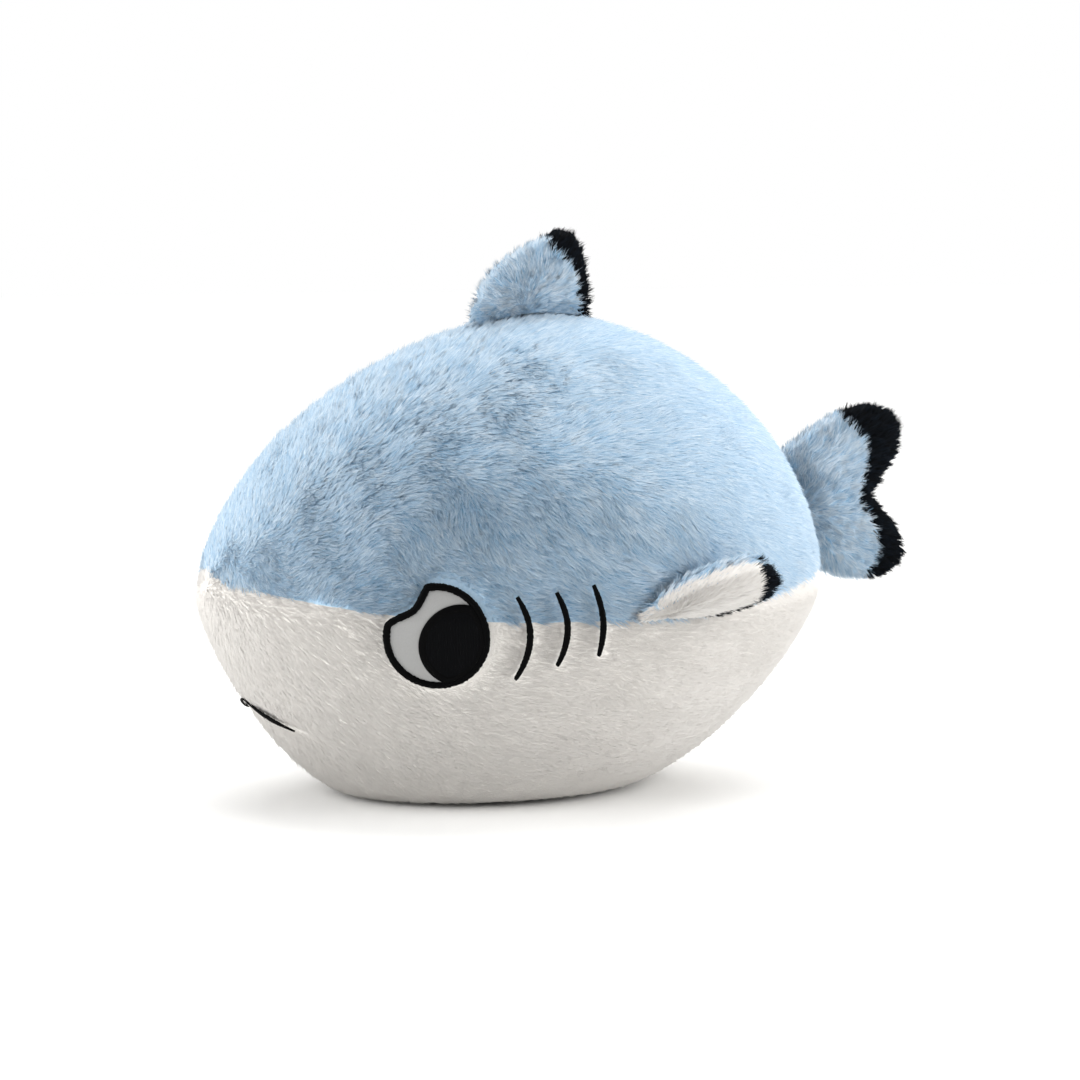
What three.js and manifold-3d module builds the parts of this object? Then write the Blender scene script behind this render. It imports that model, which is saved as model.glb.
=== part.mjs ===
// A stuffed toy shark: a fat egg-shaped body that sits on a flat oval base, a dorsal fin, a tail fin and two
// pectoral fins. Millimetres, Z up. The nose points along -Y and +X is the shark's left. The origin is the
// centre of the flat base. Each cut panel, each stitched detail and each filling is its own solid.
import * as THREE from "three";
import { mergeVertices } from "three/addons/utils/BufferGeometryUtils.js";
import Module from "manifold-3d";

const wasm = await Module();
wasm.setup();

// ---------- body size ----------
// Reach of the nose in front of the top of the back.
const NOSE_REACH = 216;
// Reach of the rump behind the top of the back.
const RUMP_REACH = 175;
// Half of the greatest width.
const HALF_WIDTH = 147;
// Height of the back above the ground.
const BODY_HEIGHT = 286;
// Height of the widest level.
const WIDEST_HEIGHT = 120;
// How far behind the centre of the base the top of the back lies.
const BACK_TOP_Y = 35.5;
// Half length of the flat oval base.
const BASE_HALF_LENGTH = 96;
// Half width of the flat oval base.
const BASE_HALF_WIDTH = 70;
// Fullness of the curves: 2 is an ellipse, less is more pointed.
const NOSE_FULLNESS = 1.68;
const RUMP_FULLNESS = 1.88;
const FLANK_FULLNESS = 1.83;
const BELLY_FULLNESS = 1.36;

// ---------- cloth, gaps and seams ----------
// Thickness of a pile panel: the backing with its flattened pile.
const PANEL_THICKNESS = 3;
// Slit left between two pieces that are sewn together or laid on each other.
const SEAM_GAP = 0.4;
// Height of the side seam at its lowest, and how much it climbs to the nose and to the rump.
const SEAM_HEIGHT = 117.5;
const SEAM_RISE_TO_NOSE = 19;
const SEAM_RISE_TO_RUMP = 26;
// Place of the lowest point of the side seam, and the run over which it climbs.
const SEAM_LOW_Y = 25;
const SEAM_RUN = 205;
// Power of the climb to the nose and to the rump.
const SEAM_BEND_TO_NOSE = 2.6;
const SEAM_BEND_TO_RUMP = 2;

// ---------- face ----------
// Place of the middle of the eye along the body and its height, and the way it faces.
const EYE_Y = -73.2;
const EYE_HEIGHT = 110.3;
const EYE_FACING = new THREE.Vector3(0.897, -0.405, -0.18).normalize();
// Radius to the outside of the stitched ring, and the width of the ring.
const EYE_RADIUS = 30;
const EYE_RING_WIDTH = 4.2;
// Depth of the dent in the upper front of the eye, and the angles it runs between.
const EYE_DENT = 8;
const EYE_DENT_FROM = 100;
const EYE_DENT_TO = 165;
// How much taller than wide the eye is.
const EYE_TALL = 1.03;
// Pupil radius and its place behind and below the middle of the eye.
const PUPIL_RADIUS = 23.6;
const PUPIL_BACK = 13.6;
const PUPIL_DOWN = 4.9;
// Heights above the pile panel at which the stitched layers lie.
const APPLIQUE_FROM = 0.4;
const APPLIQUE_TO = 1.2;
const PUPIL_FROM = 1.7;
const STITCH_TO = 2.8;
// Width of a gill stitch.
const GILL_WIDTH = 3.2;
// Gill arcs: place along the body of the middle, top and bottom heights, and how far the middle bulges back.
const GILLS = {
  front: { y: -23.5, top: 133.5, bottom: 86, bulge: 6.5, lean: 2 },
  middle: { y: -2.8, top: 135.5, bottom: 93.5, bulge: 5, lean: 2.5 },
  rear: { y: 17.5, top: 139, bottom: 98.5, bulge: 3, lean: 4.5 },
};
// Mouth line: half its width, height at the middle, drop to the corners, and thickness.
const MOUTH_HALF_WIDTH = 44;
const MOUTH_HEIGHT = 60;
const MOUTH_DROP = 12;
const MOUTH_THIN = 1.3;
const MOUTH_THICK = 3.8;

// ---------- fins ----------
// Half thickness of a fin at its sewn rim.
const FIN_RIM = 2;
// Gap between a fin's root and the body, in which the seam bends.
const ROOT_CLEARANCE = 1.6;
// Share of the full swelling that is left at the root, and the distance over which it grows to the full value.
const ROOT_SWELL = 0.3;
const ROOT_RUN = 24;
// Half thickness that the filling adds in the middle of each fin.
const DORSAL_SWELL = 13;
const TAIL_SWELL = 13;
const PECTORAL_SWELL = 10;
// Length of the dorsal fin's root, its height above the back, and how far its tip leans behind the root's middle.
const DORSAL_ROOT_FRONT = -15;
const DORSAL_ROOT_BACK = 67;
const DORSAL_HEIGHT = 50;
const DORSAL_TIP_Y = 48;
// Tail: root heights on the rump, top and bottom of the free edge, length behind the rump and depth of the notch.
const TAIL_ROOT_LOW = 125;
const TAIL_ROOT_HIGH = 194;
const TAIL_TOP = 226;
const TAIL_BOTTOM = 114;
const TAIL_LENGTH = 65.5;
const TAIL_NOTCH = 20;
const TAIL_NOTCH_HEIGHT = 167;
// Width of the black bands.
const DORSAL_BAND = 11;
const TAIL_BAND = 15;
const PECTORAL_BAND = 10;
// Pectoral fin: root from front to back along the side seam, how far its front stands above the seam, span,
// sweep and tilt above the horizontal.
const PECTORAL_ROOT_FRONT = 34;
const PECTORAL_ROOT_BACK = 79;
const PECTORAL_ROOT_CLIMB = 0.8;
const PECTORAL_SPAN = 36;
const PECTORAL_SWEEP = 90;
const PECTORAL_TILT = 58;

// ---------- how finely the curves are cut ----------
const TURNS = 40;
const RISES_UP = 10;
const RISES_DOWN = 8;
const FREE_EDGE_STEPS = 19;
const ROOT_STEPS = 4;
const RINGS = [0, 0.14, 0.48];
// Cut slivers narrower than this are melted away.
const SLIVER = 0.05;
// Degrees between the corners of the eye's outline.
const EYE_STEP = 12;

const BLUE = new THREE.MeshStandardMaterial({ color: 0xa9c8e4, roughness: 1, metalness: 0 });
const WHITE = new THREE.MeshStandardMaterial({ color: 0xf1efea, roughness: 1, metalness: 0 });
const BLACK = new THREE.MeshStandardMaterial({ color: 0x14181c, roughness: 1, metalness: 0 });
const SATIN = new THREE.MeshStandardMaterial({ color: 0xdcdcdc, roughness: 0.6, metalness: 0 });
const THREAD = new THREE.MeshStandardMaterial({ color: 0x0c0d0f, roughness: 0.5, metalness: 0 });
const FIBRE = new THREE.MeshStandardMaterial({ color: 0xf4f4f2, roughness: 1, metalness: 0 });

// A closed three.js geometry as a solid.
function solid(geometry) {
  const flat = geometry.index ? geometry.toNonIndexed() : geometry;
  const bare = new THREE.BufferGeometry();
  bare.setAttribute("position", flat.getAttribute("position"));
  const merged = mergeVertices(bare, 1e-4);
  return new wasm.Manifold(
    new wasm.Mesh({
      numProp: 3,
      vertProperties: merged.getAttribute("position").array,
      triVerts: new Uint32Array(merged.index.array),
    }),
  );
}

// A solid as a named mesh.
function piece(name, shape, material) {
  const mesh = shape.simplify(SLIVER).getMesh();
  const geometry = new THREE.BufferGeometry();
  geometry.setAttribute("position", new THREE.BufferAttribute(mesh.vertProperties, 3));
  geometry.setIndex(new THREE.BufferAttribute(mesh.triVerts, 1));
  geometry.computeVertexNormals();
  const made = new THREE.Mesh(geometry, material);
  made.name = name;
  return made;
}

// A flat outline pushed out to both sides of its plane by the given reach.
function prism(points, frame, from, to) {
  const geometry = new THREE.ExtrudeGeometry(new THREE.Shape(points), {
    depth: to - from,
    bevelEnabled: false,
  });
  geometry.translate(0, 0, from);
  geometry.applyMatrix4(frame);
  return solid(geometry);
}

function frameOf(across, up, out, origin) {
  return new THREE.Matrix4().makeBasis(across, up, out).setPosition(origin);
}

const AXIS_X = new THREE.Vector3(1, 0, 0);
const AXIS_Y = new THREE.Vector3(0, 1, 0);
const AXIS_Z = new THREE.Vector3(0, 0, 1);
const HERE = new THREE.Vector3(0, 0, 0);
// Side view: the outline is drawn in Y and Z and pushed out along X.
const SIDE = frameOf(AXIS_Y, AXIS_Z, AXIS_X, HERE);
// Plan view: the outline is drawn in X and Y and pushed out along Z.
const PLAN = frameOf(AXIS_X, AXIS_Y, AXIS_Z, HERE);
// Front view: the outline is drawn in X and Z and pushed out towards the nose.
const FRONT = frameOf(AXIS_X, AXIS_Z, AXIS_Y.clone().negate(), HERE);

// ---------- body ----------
// The reach left at a share of the height, on a curve of the given fullness.
function reachAt(share, fullness) {
  return Math.pow(Math.max(0, 1 - Math.pow(share, fullness)), 1 / fullness);
}

// One point of the body's skin. The turn is 0 at the nose and grows to the left; the rise is -1 at the edge of
// the base, 0 at the widest level and 1 on top. Every half size is grown by the same amount.
function bodyPoint(turn, rise, grow) {
  const ahead = Math.cos(turn);
  const toNose = ahead >= 0;
  const mix = ahead * ahead;
  const fullnessUp = FLANK_FULLNESS + ((toNose ? NOSE_FULLNESS : RUMP_FULLNESS) - FLANK_FULLNESS) * mix;
  const fullness = rise >= 0 ? fullnessUp : BELLY_FULLNESS;
  const angle = (Math.abs(rise) * Math.PI) / 2;
  const out = Math.pow(Math.max(0, Math.cos(angle)), 2 / fullness);
  const along = Math.pow(Math.sin(angle), 2 / fullness);
  const reach = (toNose ? NOSE_REACH : RUMP_REACH) + grow;
  if (rise >= 0) {
    return new THREE.Vector3(
      (HALF_WIDTH + grow) * out * Math.sin(turn),
      BACK_TOP_Y - reach * out * ahead,
      WIDEST_HEIGHT + (BODY_HEIGHT + grow - WIDEST_HEIGHT) * along,
    );
  }
  const baseWide = BASE_HALF_WIDTH + grow * 0.5;
  const baseLong = BASE_HALF_LENGTH + grow * 0.5;
  return new THREE.Vector3(
    (baseWide + (HALF_WIDTH + grow - baseWide) * out) * Math.sin(turn),
    BACK_TOP_Y * out - (baseLong + (reach - baseLong) * out) * ahead,
    WIDEST_HEIGHT - (WIDEST_HEIGHT + grow) * along,
  );
}

// The whole body as one closed solid, grown outwards (or shrunk) by an amount, with every step-th cut used.
function bodySolid(grow, step) {
  const levels = [];
  for (let i = -RISES_DOWN; i < RISES_UP; i += step) {
    levels.push(i < 0 ? i / RISES_DOWN : i / RISES_UP);
  }
  const turns = TURNS / step;
  const rings = levels.map((rise) =>
    Array.from({ length: turns }, (_, i) => bodyPoint((i / turns) * 2 * Math.PI, rise, grow)),
  );
  const top = bodyPoint(0, 1, grow);
  top.set(0, BACK_TOP_Y, top.z);
  const bottom = new THREE.Vector3(0, 0, rings[0][0].z);
  const corners = [];
  const face = (...points) => points.forEach((p) => corners.push(p.x, p.y, p.z));
  for (let i = 0; i < turns; i += 1) {
    const next = (i + 1) % turns;
    face(bottom, rings[0][next], rings[0][i]);
    for (let j = 0; j + 1 < rings.length; j += 1) {
      face(rings[j][i], rings[j][next], rings[j + 1][next]);
      face(rings[j][i], rings[j + 1][next], rings[j + 1][i]);
    }
    face(rings[rings.length - 1][i], rings[rings.length - 1][next], top);
  }
  const geometry = new THREE.BufferGeometry();
  geometry.setAttribute("position", new THREE.Float32BufferAttribute(corners, 3));
  return solid(geometry);
}

// Everything on the shark's left of the centre plane, less half a seam slit.
function leftHalf() {
  const box = new THREE.BoxGeometry(400, 900, 900);
  box.translate(200 + SEAM_GAP / 2, 0, 0);
  return solid(box);
}

function seamHeight(y) {
  const run = (y - SEAM_LOW_Y) / SEAM_RUN;
  return run < 0
    ? SEAM_HEIGHT + SEAM_RISE_TO_NOSE * Math.pow(-run, SEAM_BEND_TO_NOSE)
    : SEAM_HEIGHT + SEAM_RISE_TO_RUMP * Math.pow(run, SEAM_BEND_TO_RUMP);
}

// The region above or below the side seam, half a slit away from it.
function seamSide(above) {
  const edge = above ? SEAM_GAP / 2 : -SEAM_GAP / 2;
  const points = [];
  for (let y = -210; y <= 240; y += 25) points.push(new THREE.Vector2(y, seamHeight(y) + edge));
  const far = above ? 400 : -100;
  points.push(new THREE.Vector2(240, far), new THREE.Vector2(-210, far));
  return prism(above ? points : points.reverse(), SIDE, -400, 400);
}

// The oval of the base as an upright column, grown by an amount.
function baseColumn(grow) {
  const points = [];
  for (let i = 0; i < TURNS; i += 1) {
    const turn = (i / TURNS) * 2 * Math.PI;
    points.push(
      new THREE.Vector2(
        (BASE_HALF_WIDTH + grow) * Math.cos(turn),
        (BASE_HALF_LENGTH + grow) * Math.sin(turn),
      ),
    );
  }
  return prism(points, PLAN, -20, 30);
}

const left = leftHalf();
const right = left.mirror([1, 0, 0]);
const shell = bodySolid(0, 1).subtract(bodySolid(-PANEL_THICKNESS, 1));
const backShell = shell.intersect(seamSide(true));
const sideShell = shell.intersect(seamSide(false)).subtract(baseColumn(SEAM_GAP / 2));
const baseShell = shell.intersect(baseColumn(-SEAM_GAP / 2));

// Half width of the body at a place along it and a height.
function flankX(y, z) {
  const low = z < WIDEST_HEIGHT;
  const share = low ? (WIDEST_HEIGHT - z) / WIDEST_HEIGHT : (z - WIDEST_HEIGHT) / (BODY_HEIGHT - WIDEST_HEIGHT);
  const out = reachAt(share, low ? BELLY_FULLNESS : FLANK_FULLNESS);
  const wide = low ? BASE_HALF_WIDTH + (HALF_WIDTH - BASE_HALF_WIDTH) * out : HALF_WIDTH * out;
  const middle = low ? BACK_TOP_Y * out : BACK_TOP_Y;
  const reach = y < middle ? NOSE_REACH : RUMP_REACH;
  const long = low ? BASE_HALF_LENGTH + (reach - BASE_HALF_LENGTH) * out : reach * out;
  return wide * Math.sqrt(Math.max(0, 1 - Math.pow((y - middle) / long, 2)));
}

// ---------- face ----------
const eyeCentre = new THREE.Vector3(flankX(EYE_Y, EYE_HEIGHT), EYE_Y, EYE_HEIGHT);
const eyeAcross = new THREE.Vector3().crossVectors(AXIS_Z, EYE_FACING).normalize();
const eyeUp = new THREE.Vector3().crossVectors(EYE_FACING, eyeAcross);
const EYE_FRAME = frameOf(eyeAcross, eyeUp, EYE_FACING, eyeCentre);

// Radius of the eye's edge at an angle, with the dent that makes it frown, less an inset.
function eyeRadius(degrees, inset) {
  const share = (degrees - EYE_DENT_FROM) / (EYE_DENT_TO - EYE_DENT_FROM);
  const dent = share > 0 && share < 1 ? (share * Math.pow(1 - share, 1.25)) / 0.2132 : 0;
  return EYE_RADIUS - inset - EYE_DENT * dent;
}

function eyeColumn(inset) {
  const points = [];
  for (let degrees = 0; degrees < 360; degrees += EYE_STEP) {
    const angle = (degrees * Math.PI) / 180;
    const radius = eyeRadius(degrees, inset);
    points.push(new THREE.Vector2(radius * Math.cos(angle), EYE_TALL * radius * Math.sin(angle)));
  }
  return prism(points, EYE_FRAME, -45, 30);
}

function pupilColumn() {
  const circle = new THREE.Path();
  circle.absarc(PUPIL_BACK, -PUPIL_DOWN, PUPIL_RADIUS, 0, 2 * Math.PI, false);
  return prism(circle.getPoints(24).slice(0, -1), EYE_FRAME, -45, 30);
}

// A line drawn as a closed outline: the middle line and its half width at each share of its length.
function stroke(middle, halfWidth) {
  const one = [];
  const other = [];
  middle.forEach((point, i) => {
    const before = middle[Math.max(0, i - 1)];
    const after = middle[Math.min(middle.length - 1, i + 1)];
    const along = new THREE.Vector2().subVectors(after, before).normalize();
    const half = halfWidth(i / (middle.length - 1));
    one.push(new THREE.Vector2(point.x + along.y * half, point.y - along.x * half));
    other.unshift(new THREE.Vector2(point.x - along.y * half, point.y + along.x * half));
  });
  return one.concat(other);
}

const gillTaper = (share) => (GILL_WIDTH / 2) * (0.55 + 0.45 * Math.sin(Math.PI * share));

function gillColumn(gill) {
  const middle = [];
  for (let i = 0; i <= 6; i += 1) {
    const share = i / 6;
    const bulge = gill.bulge * (1 - Math.pow(2 * share - 1, 2));
    const y = gill.y - gill.bulge + bulge + gill.lean * (1 - 2 * share) * -0.5;
    middle.push(new THREE.Vector2(y, gill.top + (gill.bottom - gill.top) * share));
  }
  return prism(stroke(middle, gillTaper), SIDE, 90, 200);
}

function mouthColumn() {
  const middle = [];
  for (let i = 0; i <= 16; i += 1) {
    const share = i / 8 - 1;
    const drop = MOUTH_DROP * Math.pow(Math.abs(share), 1.3);
    middle.push(new THREE.Vector2(MOUTH_HALF_WIDTH * share, MOUTH_HEIGHT - drop));
  }
  const taper = (share) => {
    const side = Math.abs(2 * share - 1);
    return (MOUTH_THIN + (MOUTH_THICK - MOUTH_THIN) * Math.sin(Math.PI * Math.pow(side, 1.4))) / 2;
  };
  return prism(stroke(middle, taper), FRONT, 60, 260);
}

// A layer that hugs the body between two heights above the pile panel.
function layer(from, to) {
  return bodySolid(to, 1).subtract(bodySolid(from, 1));
}

const stitchLayer = layer(APPLIQUE_FROM, STITCH_TO);
const ringInside = eyeColumn(EYE_RING_WIDTH);
const insideRing = eyeColumn(EYE_RING_WIDTH + SEAM_GAP);
const eyeWhite = layer(APPLIQUE_FROM, APPLIQUE_TO).intersect(insideRing);
const pupil = layer(PUPIL_FROM, STITCH_TO).intersect(insideRing).intersect(pupilColumn());
const eyeRing = stitchLayer.intersect(eyeColumn(0)).subtract(ringInside);
const mouth = stitchLayer.intersect(mouthColumn());

// ---------- fins ----------
// The free edge through its control points, and the root along its own points.
function finOutline(freeEdge, root) {
  const spline = new THREE.SplineCurve(freeEdge.map(([u, v]) => new THREE.Vector2(u, v)));
  return spline.getSpacedPoints(FREE_EDGE_STEPS).concat(root);
}

// A stuffed leaf: the outline drawn to its middle, swelling like a cushion, flat by its sewn root. The inset
// shrinks the outline and thins the leaf, which gives the space inside its panels.
function leaf(fin, inset, frame) {
  const centre = fin.outline
    .reduce((sum, p) => sum.add(p), new THREE.Vector2())
    .divideScalar(fin.outline.length);
  const mean = fin.outline.reduce((sum, p) => sum + p.distanceTo(centre), 0) / fin.outline.length;
  const keep = 1 - inset / mean;
  const half = (point, share) => {
    const fromRoot = Math.min(1, Math.max(0, fin.distance(point) / ROOT_RUN));
    const ease = ROOT_SWELL + (1 - ROOT_SWELL) * fromRoot * fromRoot * (3 - 2 * fromRoot);
    const middle = 1 - (1 - share) * keep;
    const swell = Math.sqrt(Math.max(0, 1 - Math.pow(1 - middle, 2)));
    return Math.max(0.5, FIN_RIM + fin.swell * swell * ease - inset);
  };
  const ring = (share) =>
    fin.outline.map((p) => {
      const q = p.clone().sub(centre).multiplyScalar((1 - share) * keep).add(centre);
      const h = half(q, share);
      return { up: new THREE.Vector3(q.x, q.y, h), down: new THREE.Vector3(q.x, q.y, -h) };
    });
  const rings = RINGS.map(ring);
  const thick = half(centre, 1);
  const high = new THREE.Vector3(centre.x, centre.y, thick);
  const low = new THREE.Vector3(centre.x, centre.y, -thick);
  const corners = [];
  const face = (...points) => points.forEach((p) => corners.push(p.x, p.y, p.z));
  const count = fin.outline.length;
  for (let i = 0; i < count; i += 1) {
    const next = (i + 1) % count;
    face(rings[0][i].down, rings[0][next].down, rings[0][next].up);
    face(rings[0][i].down, rings[0][next].up, rings[0][i].up);
    for (let j = 0; j + 1 < rings.length; j += 1) {
      const [a, b] = [rings[j], rings[j + 1]];
      face(a[i].up, a[next].up, b[next].up);
      face(a[i].up, b[next].up, b[i].up);
      face(a[i].down, b[next].down, a[next].down);
      face(a[i].down, b[i].down, b[next].down);
    }
    const last = rings[rings.length - 1];
    face(last[i].up, last[next].up, high);
    face(last[next].down, last[i].down, low);
  }
  const geometry = new THREE.BufferGeometry();
  geometry.setAttribute("position", new THREE.Float32BufferAttribute(corners, 3));
  geometry.applyMatrix4(frame);
  const made = solid(geometry);
  return made.volume() < 0 ? solid(turnedOver(geometry)) : made;
}

// The same faces wound the other way.
function turnedOver(geometry) {
  const position = geometry.getAttribute("position");
  const corners = [];
  for (let i = 0; i < position.count; i += 3) {
    [i, i + 2, i + 1].forEach((k) => corners.push(position.getX(k), position.getY(k), position.getZ(k)));
  }
  const over = new THREE.BufferGeometry();
  over.setAttribute("position", new THREE.Float32BufferAttribute(corners, 3));
  return over;
}

// The region beyond a band's inner edge, which is moved towards the root by an amount.
function bandColumn(fin, back, frame) {
  const [backU, backV] = fin.rootward;
  const edge = fin.bandEdge.map(([u, v]) => new THREE.Vector2(u + backU * back, v + backV * back));
  const smooth = new THREE.SplineCurve(edge).getPoints(14);
  const far = fin.bandFar.map(([u, v]) => new THREE.Vector2(u, v));
  return prism(smooth.concat(far), frame, -60, 60);
}

// The four skins and the filling of one fin.
function finPieces(fin, frame) {
  const clear = bodySolid(ROOT_CLEARANCE, 1);
  const skin = leaf(fin, 0, frame).subtract(leaf(fin, PANEL_THICKNESS, frame)).subtract(clear);
  const filling = leaf(fin, PANEL_THICKNESS + SEAM_GAP, frame).subtract(clear);
  const wide = new THREE.BoxGeometry(1200, 1200, 100);
  wide.translate(0, 0, 50 + SEAM_GAP / 2);
  const upper = solid(wide.clone().applyMatrix4(frame));
  const lower = solid(wide.clone().rotateX(Math.PI).applyMatrix4(frame));
  const band = skin.intersect(bandColumn(fin, 0, frame));
  const panel = skin.subtract(bandColumn(fin, SEAM_GAP, frame));
  return {
    upperPanel: panel.intersect(upper),
    lowerPanel: panel.intersect(lower),
    upperBand: band.intersect(upper),
    lowerBand: band.intersect(lower),
    filling,
  };
}

// Height of the back on the centre plane.
function backHeight(y) {
  const ahead = y < BACK_TOP_Y;
  const share = Math.abs(y - BACK_TOP_Y) / (ahead ? NOSE_REACH : RUMP_REACH);
  const rise = reachAt(share, ahead ? NOSE_FULLNESS : RUMP_FULLNESS);
  return WIDEST_HEIGHT + (BODY_HEIGHT - WIDEST_HEIGHT) * rise;
}

// Reach of the rump on the centre plane.
function rumpReach(z) {
  if (z >= WIDEST_HEIGHT) {
    const share = (z - WIDEST_HEIGHT) / (BODY_HEIGHT - WIDEST_HEIGHT);
    return BACK_TOP_Y + RUMP_REACH * reachAt(share, RUMP_FULLNESS);
  }
  const out = reachAt((WIDEST_HEIGHT - z) / WIDEST_HEIGHT, BELLY_FULLNESS);
  return BACK_TOP_Y * out + BASE_HALF_LENGTH + (RUMP_REACH - BASE_HALF_LENGTH) * out;
}

// Points of a root from one end to the other, without its two ends.
function rootPoints(from, to, at) {
  const points = [];
  for (let i = 1; i < ROOT_STEPS; i += 1) points.push(at(from + ((to - from) * i) / ROOT_STEPS));
  return points;
}

const dorsalTip = BODY_HEIGHT + DORSAL_HEIGHT;
const dorsalFoot = (y) => backHeight(y) + ROOT_CLEARANCE;
const dorsal = {
  swell: DORSAL_SWELL,
  outline: finOutline(
    [
      [DORSAL_ROOT_FRONT, dorsalFoot(DORSAL_ROOT_FRONT)],
      [DORSAL_ROOT_FRONT + 7, dorsalTip - 34],
      [DORSAL_ROOT_FRONT + 25, dorsalTip - 14],
      [DORSAL_TIP_Y - 11, dorsalTip - 2.5],
      [DORSAL_TIP_Y, dorsalTip - 1],
      [DORSAL_TIP_Y + 10, dorsalTip - 8],
      [DORSAL_TIP_Y + 14.5, dorsalTip - 24],
      [DORSAL_ROOT_BACK - 2.5, dorsalTip - 38],
      [DORSAL_ROOT_BACK, dorsalFoot(DORSAL_ROOT_BACK)],
    ],
    rootPoints(DORSAL_ROOT_BACK, DORSAL_ROOT_FRONT, (y) => new THREE.Vector2(y, dorsalFoot(y))),
  ),
  distance: (p) => p.y - dorsalFoot(p.x),
  rootward: [-1, 0],
  bandEdge: [
    [DORSAL_TIP_Y - 12, dorsalTip + 6],
    [DORSAL_TIP_Y - 6, dorsalTip - 9],
    [DORSAL_TIP_Y + 14.5 - DORSAL_BAND * 0.8, dorsalTip - 22],
    [DORSAL_ROOT_BACK - DORSAL_BAND * 0.8, dorsalTip - 42],
    [DORSAL_ROOT_BACK - 3, dorsalTip - 62],
  ],
  bandFar: [
    [DORSAL_ROOT_BACK + 40, dorsalTip - 62],
    [DORSAL_ROOT_BACK + 40, dorsalTip + 20],
  ],
};

const tailReach = BACK_TOP_Y + RUMP_REACH + TAIL_LENGTH;
const tailFoot = (z) => rumpReach(z) + ROOT_CLEARANCE;
const notchReach = tailReach - TAIL_NOTCH;
const tail = {
  swell: TAIL_SWELL,
  outline: finOutline(
    [
      [tailFoot(TAIL_ROOT_LOW), TAIL_ROOT_LOW],
      [tailReach - 42, TAIL_BOTTOM + 1.5],
      [tailReach - 16, TAIL_BOTTOM],
      [tailReach - 1, TAIL_BOTTOM + 11],
      [tailReach - 4, TAIL_BOTTOM + 29],
      [notchReach + 5, TAIL_NOTCH_HEIGHT - 10],
      [notchReach, TAIL_NOTCH_HEIGHT],
      [notchReach + 6, TAIL_NOTCH_HEIGHT + 13],
      [tailReach - 5, TAIL_TOP - 27],
      [tailReach - 5, TAIL_TOP - 8],
      [tailReach - 17, TAIL_TOP],
      [tailReach - 35, TAIL_TOP - 1],
      [tailReach - 56, TAIL_TOP - 10],
      [tailFoot(TAIL_ROOT_HIGH), TAIL_ROOT_HIGH],
    ],
    rootPoints(TAIL_ROOT_HIGH, TAIL_ROOT_LOW, (z) => new THREE.Vector2(tailFoot(z), z)),
  ),
  distance: (p) => p.x - tailFoot(Math.min(TAIL_ROOT_HIGH, p.y)),
  rootward: [-1, 0],
  bandEdge: [
    [tailReach - 24, TAIL_BOTTOM - 12],
    [tailReach - 11, TAIL_BOTTOM + 14],
    [notchReach + 13 - TAIL_BAND * 0.5, TAIL_NOTCH_HEIGHT - 19],
    [notchReach - TAIL_BAND * 0.5, TAIL_NOTCH_HEIGHT],
    [tailReach - 5 - TAIL_BAND, TAIL_TOP - 28],
    [tailReach - 10 - TAIL_BAND, TAIL_TOP - 14],
    [tailReach - 47, TAIL_TOP + 10],
  ],
  bandFar: [
    [tailReach + 30, TAIL_TOP + 10],
    [tailReach + 30, TAIL_BOTTOM - 12],
  ],
};

// A point of the seam that a pectoral fin's root follows, moved up by an amount.
function flankPoint(y, up) {
  const z = seamHeight(y) + up;
  return new THREE.Vector3(flankX(y, z) + ROOT_CLEARANCE, y, z);
}

const pectoralFront = flankPoint(PECTORAL_ROOT_FRONT, PECTORAL_ROOT_CLIMB);
const pectoralBack = flankPoint(PECTORAL_ROOT_BACK, -PECTORAL_ROOT_CLIMB / 2);
const rootAlong = new THREE.Vector3().subVectors(pectoralBack, pectoralFront).normalize();
const rootLength = pectoralBack.distanceTo(pectoralFront);
const level = new THREE.Vector3().crossVectors(rootAlong, AXIS_Z).normalize();
const tilt = (PECTORAL_TILT * Math.PI) / 180;
const spanAlong = level
  .clone()
  .multiplyScalar(Math.cos(tilt))
  .addScaledVector(new THREE.Vector3().crossVectors(level, rootAlong), Math.sin(tilt));
// The blue side faces up and in, the white side down and out.
const blueSide = new THREE.Vector3().crossVectors(spanAlong, rootAlong);
const PECTORAL_FRAME = frameOf(spanAlong, rootAlong, blueSide, pectoralFront);
const pectoral = {
  swell: PECTORAL_SWELL,
  outline: finOutline(
    [
      [0, 0],
      [PECTORAL_SPAN * 0.58, PECTORAL_SWEEP * 0.3],
      [PECTORAL_SPAN * 0.86, PECTORAL_SWEEP * 0.54],
      [PECTORAL_SPAN, PECTORAL_SWEEP * 0.78],
      [PECTORAL_SPAN * 0.9, PECTORAL_SWEEP * 0.94],
      [PECTORAL_SPAN * 0.64, PECTORAL_SWEEP],
      [PECTORAL_SPAN * 0.34, PECTORAL_SWEEP * 0.88],
      [PECTORAL_SPAN * 0.1, PECTORAL_SWEEP * 0.69],
      [0, rootLength],
    ],
    rootPoints(rootLength, 0, (v) => new THREE.Vector2(0, v)),
  ),
  distance: (p) => p.x,
  rootward: [0, -1],
  bandEdge: [
    [-10, rootLength + PECTORAL_BAND * 0.3],
    [PECTORAL_SPAN * 0.12, PECTORAL_SWEEP * 0.7 - PECTORAL_BAND],
    [PECTORAL_SPAN * 0.35, PECTORAL_SWEEP * 0.88 - PECTORAL_BAND],
    [PECTORAL_SPAN * 0.68, PECTORAL_SWEEP - PECTORAL_BAND],
    [PECTORAL_SPAN * 1.15, PECTORAL_SWEEP * 0.86],
  ],
  bandFar: [
    [PECTORAL_SPAN * 1.15, PECTORAL_SWEEP * 1.3],
    [-10, PECTORAL_SWEEP * 1.3],
  ],
};

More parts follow.
